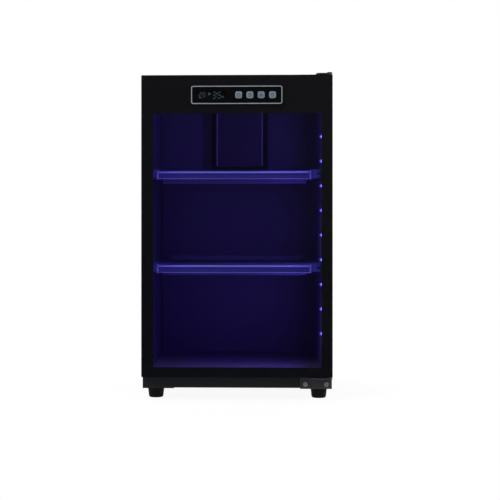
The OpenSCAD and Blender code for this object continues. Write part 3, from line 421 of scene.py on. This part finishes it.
# The trim rods' green tint turns the violet lamps' reflections whiter: a painted reflection colour
# over their real gloss.
BEAD_PAINTED_REFLECTION = metal("bead_polish_painted_reflection", (0.32, 0.47, 0.31), 0.5, "X", 1200)
LINE_PAINTED_REFLECTION = metal("line_satin_painted_reflection", (0.22, 0.29, 0.19), 0.5, "X", 1200)

# Plastic
FRAME = plastic("frame_plastic", (0.0100, 0.0105, 0.0120), 0.45, gloss=0.25)
FASCIA = plastic("fascia_plastic", (0.0022, 0.0023, 0.0025), 0.32, grain=0.5, gloss=0.12,
                 worn_and_lit=(0.006, 0.006, 0.007))
BEZEL = plastic("bezel_silver", (0.25, 0.295, 0.335), 0.4, grain=0.4, gloss=0.5,
                worn_and_lit=(0.36, 0.39, 0.43))
# The keys' wide pale rims are a painted highlight on their rounded edges, over a little rubbed wear.
KEY = plastic("key_plastic", (0.156, 0.202, 0.256), 0.42, grain=0.7, gloss=0.35,
              worn_and_lit=(0.36, 0.42, 0.48), radius=1.4 * MM, wear_and_highlight=0.8)
ICON = plastic("key_print", (0.044, 0.064, 0.104), 0.5)
DISPLAY = plastic("display_face", (0.0130, 0.0155, 0.0190), 0.3, gloss=0.15)
SOCKET = plastic("socket_plastic", (0.010, 0.010, 0.011), 0.4)
# The plugs' blue is painted light, like the rails'.
PLUG_PAINTED_LIGHT = plastic("plug_plastic_painted_light", (0.028, 0.034, 0.090), 0.45)
CAP = plastic("cap_plastic", (0.12, 0.15, 0.15), 0.45)
NYLON = plastic("bush_nylon", (0.48, 0.48, 0.46), 0.42)
CERAMIC = plastic("ceramic_white", (0.78, 0.78, 0.75), 0.5)

# Rubber, foam, felt and boards
FOOT = rubber("foot_rubber", (0.0036, 0.0042, 0.0041), 0.75, gloss=0.13)
SEAL = rubber("seal_rubber", (0.011, 0.011, 0.012), 0.6)
MAT = mat_rubber("mat_rubber", (0.050, 0.046, 0.047))
FOAM = foam("foam_black", (0.012, 0.012, 0.013))
FELT = felt("wick_felt", (0.55, 0.52, 0.46))
BOARD = circuit_board("circuit_green", (0.012, 0.095, 0.035))
TAPE = circuit_board("tape_white", (0.20, 0.20, 0.25))

# Glass, print and light
PRINT = ceramic_print("black_print", (0.0094, 0.0101, 0.0115))
GLASS = clear("clear_glass", (0.80, 0.80, 0.84))
LENS = clear("smoked_lens", (0.62, 0.64, 0.68), fresnel=1.3, roughness=0.05)
LAMP = glowing("lamp_lens", (0.7, 0.68, 0.85), (0.26, 0.20, 1.0), 7.0)
DOME = soft_glow("lamp_dome", (0.07, 0.05, 1.0), 1.1)
GLYPH = glowing("glyph", (0.10, 0.13, 0.16), (0.55, 0.70, 0.78), 0.14, roughness=0.5)

BY_SLOT = {
    "case_paint": CASE, "lining_paint": LINING, "mat_rubber": MAT, "foot_rubber": FOOT,
    "seal_rubber": SEAL, "screw_steel": SCREW, "sink_aluminium": SINK, "tape_white": TAPE,
    "lamp_lens": LAMP, "ceramic_white": CERAMIC, "foam_black": FOAM, "wick_felt": FELT,
    "black_plastic": FRAME, "circuit_green": BOARD, "clear_glass": GLASS,
    "black_print": PRINT, "bush_nylon": NYLON, "bezel_metal": BEZEL, "smoked_lens": LENS,
    "display_grey": DISPLAY, "key_plastic": KEY, "tray_paint": TRAY,
    "trim_aluminium": TRIM,
}
BY_NODE = {
    "upper_hinge_plate": HINGE, "lower_hinge_plate": HINGE, "hinge_pins": PIN,
    "led_bar": BAR, "control_fascia": FASCIA, "power_inlet": SOCKET,
    "humidity_sensor": SOCKET, "drying_unit_cover": COVER, "back_panel": BACK_PAINTED_LIGHT,
    "right_lining": LINING_PAINTED_LIGHT, "upper_shelf_rails": RAIL_PAINTED_LIGHT, "lower_shelf_rails": RAIL_PAINTED_LIGHT,
}


def dress_nodes():
    """Gives every CAD node its material."""
    for part in frame["record"]["subparts"]:
        name = part["node"]
        slots = NODES[name].data.materials
        paint = BY_NODE.get(name, BY_SLOT[part["material_slot"]])
        if not slots:
            slots.append(paint)
        for i in range(len(slots)):
            slots[i] = paint


# Objects


def new_object(name, bm, material):
    mesh = bpy.data.meshes.new(name)
    bm.to_mesh(mesh)
    bm.free()
    mesh.materials.append(material)
    thing = bpy.data.objects.new(name, mesh)
    bpy.context.scene.collection.objects.link(thing)
    return thing


def add_piece(name, bm, material, body, smooth=False):
    """A new piece that rides on a body, in the material given."""
    piece = new_object(name, bm, material)
    for face in piece.data.polygons:
        face.use_smooth = smooth
    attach(piece, body)
    return piece


# Floor and background

FLOOR_RADIUS = 0.60
FLOOR_Y = 0.16
FLOOR_SIDES = 96

# How much of what the camera sees of the floor is plain white, not lit paint
FLOOR_WHITE_SHARE = 0.93

# Seen in gloss, the floor is white out to here and fades away towards its rim
FLOOR_GLOSS_RADIUS = 0.34

# The world's level as plain light
PLAIN_LEVEL = 0.45

# In gloss, a dim wall stands in front. It gets lighter upwards, and by the slant also towards
# the right, from the first level to the second over this reach to both sides of the eye's line.
WALL_LEVELS = (0.004, 0.085)
WALL_REACH = 0.13
WALL_SLANT = 0.6

# It gives way to white between these shares of the direction +Y
WALL_END_Y = -0.9
WHITE_START_Y = 0.1


def floor_material():
    """Pale paint under a white that only the camera and gloss see."""
    material = bpy.data.materials.new("floor")
    material.use_nodes = True
    tree = material.node_tree
    shader = tree.nodes["Principled BSDF"]
    feed(tree, shader.inputs["Base Color"], (0.9, 0.9, 0.9, 1))
    feed(tree, shader.inputs["Roughness"], 0.9)
    feed(tree, shader.inputs["Specular IOR Level"], 0.1)
    path = add_node(tree, "LightPath").outputs
    white = add_node(tree, "Emission", {"Color": (1, 1, 1, 1), "Strength": 1.0}).outputs["Emission"]
    share = calculate(tree, "MULTIPLY", path["Is Camera Ray"], FLOOR_WHITE_SHARE)
    plain = blend_shader(tree, share, shader.outputs["BSDF"], white)
    place = add_node(tree, "TexCoord").outputs["Object"]
    reach = add_node(tree, "VectorMath", {0: place}, operation="LENGTH").outputs["Value"]
    fade = map_range(tree, reach, FLOOR_GLOSS_RADIUS, FLOOR_RADIUS, 1.0, 0.0, "SMOOTHSTEP")
    gone = add_node(tree, "BsdfTransparent").outputs["BSDF"]
    mirrored = blend_shader(tree, fade, gone, white)
    surface = blend_shader(tree, path["Is Glossy Ray"], plain, mirrored)
    feed(tree, tree.nodes["Material Output"].inputs["Surface"], surface)
    return material


def make_floor():
    """A pale round floor: white to the camera, and it keeps the object's shadow."""
    bm = bmesh.new()
    bmesh.ops.create_circle(bm, cap_ends=True, segments=FLOOR_SIDES, radius=FLOOR_RADIUS)
    floor = new_object("floor", bm, floor_material())
    floor.location = (0, FLOOR_Y, 0)


def make_world():
    """White for camera and transmitted rays; in gloss, dim in front and white elsewhere."""
    world = bpy.data.worlds.new("world")
    bpy.context.scene.world = world
    world.use_nodes = True
    tree = world.node_tree
    tree.nodes.clear()
    path = add_node(tree, "LightPath").outputs
    toward = add_node(tree, "TexCoord").outputs["Generated"]
    axis = add_node(tree, "SeparateXYZ", {"Vector": toward}).outputs
    aside = calculate(tree, "MULTIPLY_ADD", axis["X"], WALL_SLANT, axis["Z"])
    wall = map_range(tree, aside, -WALL_REACH, WALL_REACH, *WALL_LEVELS)
    room = map_range(tree, axis["Y"], WALL_END_Y, WHITE_START_Y, wall, 1.0, "SMOOTHSTEP")
    unseen = blend_number(tree, path["Is Glossy Ray"], PLAIN_LEVEL, room)
    seen = calculate(tree, "MAXIMUM", path["Is Camera Ray"], path["Is Transmission Ray"])
    level = blend_number(tree, seen, unseen, 1.0)
    back = add_node(tree, "Background", {"Color": (1, 1, 1, 1), "Strength": level})
    add_node(tree, "OutputWorld", {"Surface": back.outputs["Background"]})


# Lamps

# Studio lamps: name, place, target, size in metres and power in watts
STUDIO = (
    ("key", (-1.9, -1.5, 2.3), (0, 0, 0.35), 1.6, 46),
    ("fill", (2.1, -1.3, 1.6), (0, 0, 0.35), 1.4, 36),
    ("top", (0.0, 0.3, 2.9), (0, 0, 0.3), 1.8, 30),
    ("rear", (-0.8, 2.4, 1.8), (0, 0.1, 0.35), 1.6, 40),
)

VIOLET = (0.15, 0.075, 1.0)

# A narrow lamp in each bay, from the lowest bay up, that ends clear of the shelves
BAY_POWERS = (1.1, 0.8, 1.5)
BAY_OVER_SHELF = 22 * MM
BAY_UNDER_SHELF = 26 * MM
BAY_LAMP_PROUD = 1.5 * MM
BAY_LAMP_WIDTH = 4 * MM
BAY_LAMP_FACING = (-1.0, 0.22, 0)
BAY_LAMP_SPREAD = math.radians(150)

# What the door throws back
DOOR_GLOW_PLACE = (-4 * MM, -167.5 * MM, 345 * MM)
DOOR_GLOW_WIDTH = 340 * MM
DOOR_GLOW_HEIGHT = 490 * MM
DOOR_GLOW_POWER = 1.25

# What the left wall's front edge throws back, as a share of its bay's lamp
WALL_GLOW_X = -172.5 * MM
WALL_GLOW_Y = -160 * MM
WALL_GLOW_WIDTH = 6 * MM
WALL_GLOW_FACING = (1, 0.25, 0)
WALL_GLOW_SHARE = 0.14


def area_lamp(name, place, target, size, power, color=(1, 1, 1), height=None):
    """A square lamp, or a rectangle where its height is given."""
    data = bpy.data.lights.new(name, "AREA")
    data.energy = power
    data.color = color
    data.size = size
    if height:
        data.shape = "RECTANGLE"
        data.size_y = height
    lamp = bpy.data.objects.new(name, data)
    bpy.context.scene.collection.objects.link(lamp)
    lamp.location = place
    lamp.rotation_euler = (Vector(target) - Vector(place)).to_track_quat("-Z", "Y").to_euler()
    return lamp


def violet_lamp(name, place, facing, width, height, power):
    """An upright rectangle of violet light that faces along a direction."""
    spot = Vector(place)
    return area_lamp(name, spot, spot + Vector(facing), width, power, VIOLET, height)


def light_scene():
    for name, place, target, size, power in STUDIO:
        area_lamp(name, place, target, size, power)


def light_inside():
    """What the violet lamps give: a narrow lamp for each bay, and what door and wall throw back."""
    low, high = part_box("led_chips")
    lower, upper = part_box("lower_shelf"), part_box("upper_shelf")
    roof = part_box("drying_unit_cover")[1].z
    floors = (low.z, lower[1].z + BAY_OVER_SHELF, upper[1].z + BAY_OVER_SHELF)
    ceilings = (lower[0].z - BAY_UNDER_SHELF, upper[0].z - BAY_UNDER_SHELF, roof)
    bays = [((z0 + z1) / 2, z1 - z0, power) for z0, z1, power in zip(floors, ceilings, BAY_POWERS)]
    x = low.x - BAY_LAMP_PROUD
    y = (low.y + high.y) / 2
    for i, (z, height, power) in enumerate(bays):
        lamp = violet_lamp("bay_lamp_%d" % i, (x, y, z), BAY_LAMP_FACING, BAY_LAMP_WIDTH, height,
                           power)
        lamp.data.spread = BAY_LAMP_SPREAD
    violet_lamp("door_glow", DOOR_GLOW_PLACE, (0, 1, 0), DOOR_GLOW_WIDTH, DOOR_GLOW_HEIGHT,
                DOOR_GLOW_POWER)
    for i, (z, height, power) in enumerate(bays):
        violet_lamp("wall_glow_%d" % i, (WALL_GLOW_X, WALL_GLOW_Y, z), WALL_GLOW_FACING,
                    WALL_GLOW_WIDTH, height, WALL_GLOW_SHARE * power)


# Shapes that the pieces are made of


def plate(bm, outline, y0, y1):
    """A flat shape in XZ, thick from y0 (front) to y1 (back)."""
    front = [bm.verts.new((x, y0, z)) for x, z in outline]
    back = [bm.verts.new((x, y1, z)) for x, z in outline]
    bm.faces.new(front)
    bm.faces.new(back[::-1])
    n = len(outline)
    for i in range(n):
        j = (i + 1) % n
        bm.faces.new((front[j], front[i], back[i], back[j]))


def block(bm, x0, x1, z0, z1, y0, y1):
    plate(bm, [(x0, z0), (x1, z0), (x1, z1), (x0, z1)], y0, y1)


def bar(bm, x, z, width, height, y0, y1):
    """A rectangle about a middle point."""
    block(bm, x - width / 2, x + width / 2, z - height / 2, z + height / 2, y0, y1)


def band(bm, inner, outer, y0, y1, closed=True):
    """A strip between two outlines of as many points each."""
    n = len(inner)
    rows = [[bm.verts.new((x, y, z)) for x, z in line]
            for line, y in ((inner, y0), (outer, y0), (outer, y1), (inner, y1))]
    for i in range(n if closed else n - 1):
        j = (i + 1) % n
        for a, b in ((0, 1), (1, 2), (2, 3), (3, 0)):
            bm.faces.new((rows[a][i], rows[a][j], rows[b][j], rows[b][i]))
    if not closed:
        for i in (0, n - 1):
            bm.faces.new([rows[k][i] for k in range(4)])


def arc(cx, cz, r, start, end, steps):
    """Points of an arc in XZ, between angles in degrees."""
    turns = [math.radians(start + (end - start) * i / steps) for i in range(steps + 1)]
    return [(cx + r * math.cos(turn), cz + r * math.sin(turn)) for turn in turns]


def circle(cx, cz, r, sides):
    return arc(cx, cz, r, 0, 360, sides)[:-1]


def skin(bm, rings):
    """Joins each ring of points to the next."""
    for a, b in zip(rings, rings[1:]):
        for j in range(len(a)):
            k = (j + 1) % len(a)
            bm.faces.new((a[j], a[k], b[k], b[j]))


def rod(bm, start, end, r, sides=16):
    """A round bar with domed ends between two points on one axis."""
    quarter, flatness = 4, 0.4
    start, end = Vector(start), Vector(end)
    turn = (end - start).to_track_quat("Z", "Y").to_matrix()
    length = (end - start).length
    tilts = [math.pi / 2 * i / quarter for i in range(1, quarter + 1)]
    dome = [(r * math.sin(tilt), r * flatness * (1 - math.cos(tilt))) for tilt in tilts]
    rows = dome + [(q, length - h) for q, h in dome[::-1]]
    angles = [math.tau * j / sides for j in range(sides)]
    rings = [[bm.verts.new(start + turn @ Vector((q * math.cos(a), q * math.sin(a), h)))
              for a in angles] for q, h in rows]
    bm.faces.new(rings[0][::-1])
    bm.faces.new(rings[-1])
    skin(bm, rings)


def drop(bm, x, y, z, r, reach, rings=8, sides=24):
    """Half an ellipsoid on the plane of x, towards -X."""
    angles = [math.tau * j / sides for j in range(sides)]
    rows = []
    for i in range(rings):
        tilt = math.pi / 2 * i / rings
        wide = r * math.cos(tilt)
        rows.append([bm.verts.new((x - reach * math.sin(tilt), y + wide * math.cos(a),
                                   z + wide * math.sin(a))) for a in angles])
    tip = bm.verts.new((x - reach, y, z))
    bm.faces.new(rows[0])
    skin(bm, rows)
    for j in range(sides):
        bm.faces.new((rows[-1][j], rows[-1][(j + 1) % sides], tip))


def tidy_normals(bm):
    bmesh.ops.recalc_face_normals(bm, faces=bm.faces)


# Display figures, in mm: x from the cabinet's middle, z from the lens's middle

FIGURE_GAP = 0.02
FIGURE_THICK = 0.12
FIGURE_SLANT = 0.08

# Figures, left end, foot, step, and each figure's width, height and bar thickness
FIGURE_GROUPS = (
    ("26", -77.8, -3.4, 8.2, (5.8, 9.0, 1.6)),
    ("35", -50.0, -6.2, 10.4, (7.4, 12.4, 1.9)),
)
UNDERLINE = ((-77.6, -6.2), (-70.4, -6.2), (-70.4, -4.9), (-77.6, -4.9))
ARROW_HEAD = ((-57.8, 6.0), (-57.8, -0.6), (-51.4, 2.4))
RING_MIDDLE = (-28.4, -3.6)
RING_RADII = (1.0, 2.0)
RING_SIDES = 16

# Seven-segment digits: which bars are lit
LIT_BARS = {"2": "abged", "3": "abgcd", "5": "afgcd", "6": "afgedc"}

# How far a bar's point and its shoulder stand from its end, in bar thicknesses
POINT_SHARE = 0.6
SHOULDER_SHARE = 1.1


def digit(bm, figure, x, z, size, y0, y1):
    """One figure from its lower left corner, of bars with pointed ends."""
    w, h, t = size
    half = h / 2
    point, shoulder = t * POINT_SHARE, t * SHOULDER_SHARE
    flat = {"a": h, "g": half, "d": 0.0}
    tall = {"f": (0.0, half), "b": (w, half), "e": (0.0, 0.0), "c": (w, 0.0)}
    for name in LIT_BARS[figure]:
        if name in flat:
            v = flat[name]
            shape = [(point, v), (shoulder, v + t / 2), (w - shoulder, v + t / 2),
                     (w - point, v), (w - shoulder, v - t / 2), (shoulder, v - t / 2)]
        else:
            u, v = tall[name]
            shape = [(u, v + point), (u - t / 2, v + shoulder), (u - t / 2, v + half - shoulder),
                     (u, v + half - point), (u + t / 2, v + half - shoulder),
                     (u + t / 2, v + shoulder)]
        plate(bm, [(x + (a + FIGURE_SLANT * b) * MM, z + b * MM) for a, b in shape], y0, y1)


def make_display():
    """Dim figures behind the lens: two groups and an arrow head between them."""
    low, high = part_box("display_window")
    middle = (low.z + high.z) / 2
    y1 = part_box("display_module")[0].y - FIGURE_GAP * MM
    y0 = y1 - FIGURE_THICK * MM
    bm = bmesh.new()
    for figures, left, foot, step, size in FIGURE_GROUPS:
        for i, figure in enumerate(figures):
            digit(bm, figure, (left + step * i) * MM, middle + foot * MM, size, y0, y1)
    for outline in (UNDERLINE, ARROW_HEAD):
        plate(bm, [(x * MM, middle + z * MM) for x, z in outline], y0, y1)
    cx, cz = RING_MIDDLE[0] * MM, middle + RING_MIDDLE[1] * MM
    inner, outer = (circle(cx, cz, r * MM, RING_SIDES) for r in RING_RADII)
    band(bm, inner, outer, y0, y1)
    tidy_normals(bm)
    add_piece("display_figures", bm, GLYPH, "door")


# Key signs: the print's height over the key's face, and how deep it is let in
SIGN_RISE = 0.12 * MM
SIGN_SINK = 0.1 * MM


def power_sign(bm, x, z, y0, y1):
    """An open ring and a stroke in its gap."""
    ring_z, inner, outer = z - 0.3 * MM, 2.6 * MM, 3.6 * MM
    gap_end, ring_end, steps = 125, 415, 28
    band(bm, arc(x, ring_z, inner, gap_end, ring_end, steps),
         arc(x, ring_z, outer, gap_end, ring_end, steps), y0, y1, False)
    stroke_z, stroke_w, stroke_h = z + 2.1 * MM, 1.0 * MM, 3.8 * MM
    bar(bm, x, stroke_z, stroke_w, stroke_h, y0, y1)


def menu_sign(bm, x, z, y0, y1):
    """Three lines."""
    pitch, length, thick = 2.6 * MM, 7.0 * MM, 1.0 * MM
    for row in (-1, 0, 1):
        bar(bm, x, z + row * pitch, length, thick, y0, y1)


def up_sign(bm, x, z, y0, y1):
    """A hollow triangle."""
    half_base, foot, top = 1.9 * MM, -2.1 * MM, 1.7 * MM
    outer_half, outer_foot, outer_top = 3.9 * MM, -3.2 * MM, 3.9 * MM
    band(bm, [(x - half_base, z + foot), (x, z + top), (x + half_base, z + foot)],
         [(x - outer_half, z + outer_foot), (x, z + outer_top), (x + outer_half, z + outer_foot)],
         y0, y1)


def light_sign(bm, x, z, y0, y1):
    """A bulb: an open ring over two short lines."""
    ring_z, inner, outer = z + 1.0 * MM, 2.0 * MM, 3.0 * MM
    ring_start, ring_end, steps = -60, 240, 24
    band(bm, arc(x, ring_z, inner, ring_start, ring_end, steps),
         arc(x, ring_z, outer, ring_start, ring_end, steps), y0, y1, False)
    length, thick = 3.0 * MM, 0.8 * MM
    for drop_z in (2.3 * MM, 3.8 * MM):
        bar(bm, x, z - drop_z, length, thick, y0, y1)


def make_key_signs():
    """Plain printed signs on the four keys: power, menu, up and lamp."""
    signs = {"power": power_sign, "menu": menu_sign, "up": up_sign, "light": light_sign}
    for name, draw in signs.items():
        key = name + "_key"
        low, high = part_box(key)
        bm = bmesh.new()
        draw(bm, (low.x + high.x) / 2, (low.z + high.z) / 2, low.y - SIGN_RISE, low.y + SIGN_SINK)
        tidy_normals(bm)
        add_piece(name + "_sign", bm, ICON, key)


# Resin drops on the lamps
LAMP_COUNT = 9
DROP_REACH = 5.2 * MM
DROP_RADIUS = 4.6 * MM


def make_lamp_domes():
    """A cloudy drop of resin over each lamp, with the glow in it."""
    low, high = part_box("led_chips")
    side = high.y - low.y
    pitch = (high.z - low.z - side) / (LAMP_COUNT - 1)
    bm = bmesh.new()
    for k in range(LAMP_COUNT):
        drop(bm, high.x, (low.y + high.y) / 2, low.z + side / 2 + pitch * k, DROP_RADIUS, DROP_REACH)
    tidy_normals(bm)
    add_piece("lamp_domes", bm, DOME, "cabinet", True)


# Shelf trims: the rod near the top edge, the line near the lower one, and the end caps
TRIM_ROD_R = 3.05 * MM
TRIM_ROD_BACK = 2.9 * MM
TRIM_ROD_DOWN = 3.5 * MM
TRIM_ROD_SIDES = 24
TRIM_LINE_R = 1.3 * MM
TRIM_LINE_BACK = 1.2 * MM
TRIM_LINE_UP = 1.6 * MM
CAP_WIDTH = 3.6 * MM
CAP_PROUD = 0.15 * MM
CAP_DEPTH = 1.5 * MM


def make_trim_beads():
    """Polished rods, tinted for a painted reflection colour, that catch the light along each shelf's
    front, and caps on its ends.
    """
    for name in ("upper", "lower"):
        low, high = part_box(name + "_shelf_trim")
        tray = name + "_shelf_tray"
        x0, x1 = low.x + CAP_WIDTH, high.x - CAP_WIDTH

        bm = bmesh.new()
        y, z = low.y + TRIM_ROD_BACK, high.z - TRIM_ROD_DOWN
        rod(bm, (x0, y, z), (x1, y, z), TRIM_ROD_R, TRIM_ROD_SIDES)
        tidy_normals(bm)
        add_piece(name + "_trim_beads", bm, BEAD_PAINTED_REFLECTION, tray, True)

        bm = bmesh.new()
        y, z = low.y + TRIM_LINE_BACK, low.z + TRIM_LINE_UP
        rod(bm, (x0, y, z), (x1, y, z), TRIM_LINE_R)
        tidy_normals(bm)
        add_piece(name + "_trim_lines", bm, LINE_PAINTED_REFLECTION, tray, True)

        bm = bmesh.new()
        for x in (low.x, x1):
            block(bm, x, x + CAP_WIDTH, low.z, high.z, low.y - CAP_PROUD, low.y + CAP_DEPTH)
        tidy_normals(bm)
        add_piece(name + "_trim_caps", bm, CAP, tray)


# Plugs in the left and the right rail's pocket: where they start and end along X
PLUG_SPANS = ((-172.9 * MM, -168.5 * MM), (155.5 * MM, 164.5 * MM))
PLUG_MARGIN = 1.5 * MM
PLUG_FRONT = 0.3 * MM
PLUG_BACK = 6 * MM


def make_rail_plugs():
    """Plugs in the open front ends of the rails' pockets."""
    bm = bmesh.new()
    for name in ("upper", "lower"):
        low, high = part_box(name + "_shelf_rails")
        for x0, x1 in PLUG_SPANS:
            block(bm, x0, x1, low.z + PLUG_MARGIN, high.z - PLUG_MARGIN, low.y + PLUG_FRONT,
                  low.y + PLUG_BACK)
    tidy_normals(bm)
    add_piece("rail_plugs", bm, PLUG_PAINTED_LIGHT, "cabinet")


# Rolled corners of the drying unit's cover, a face's width apart
COVER_FACE = 104 * MM
CORNER_R = 1.9 * MM
CORNER_BACK = 1.3 * MM
CORNER_MARGIN = 2 * MM


def make_cover_beads():
    """Rolled front corners of the drying unit's cover, in a pale paint that is a painted highlight.
    """
    low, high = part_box("drying_unit_cover")
    y = low.y + CORNER_BACK
    z0, z1 = low.z + CORNER_MARGIN, high.z - CORNER_MARGIN
    bm = bmesh.new()
    for x in (-COVER_FACE / 2, COVER_FACE / 2):
        rod(bm, (x, y, z0), (x, y, z1), CORNER_R)
    tidy_normals(bm)
    add_piece("cover_corner_beads", bm, EDGE_PAINTED_HIGHLIGHT, "cabinet", True)


# The print's points within this depth are its face, which moves back by the gap
PRINT_FACE_DEPTH = 0.05 * MM
PRINT_GAP = 0.06 * MM


def make_door_print():
    """The black print with its face a hair behind the glass, so the two never share a plane."""
    node = NODES["window_mask"]
    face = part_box("window_mask")[0].y
    bm = bmesh.new()
    bm.from_mesh(node.data)
    bm.transform(node.matrix_world)
    for v in bm.verts:
        if v.co.y < face + PRINT_FACE_DEPTH:
            v.co.y = face + PRINT_GAP
    piece = add_piece("door_print", bm, PRINT, "door")
    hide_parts("window_mask")


def main():
    bpy.context.scene.view_settings.view_transform = "Standard"
    place_camera()
    dress_nodes()
    make_world()
    make_floor()
    light_scene()
    light_inside()
    make_display()
    make_key_signs()
    make_lamp_domes()
    make_trim_beads()
    make_rail_plugs()
    make_cover_beads()
    make_door_print()


main()
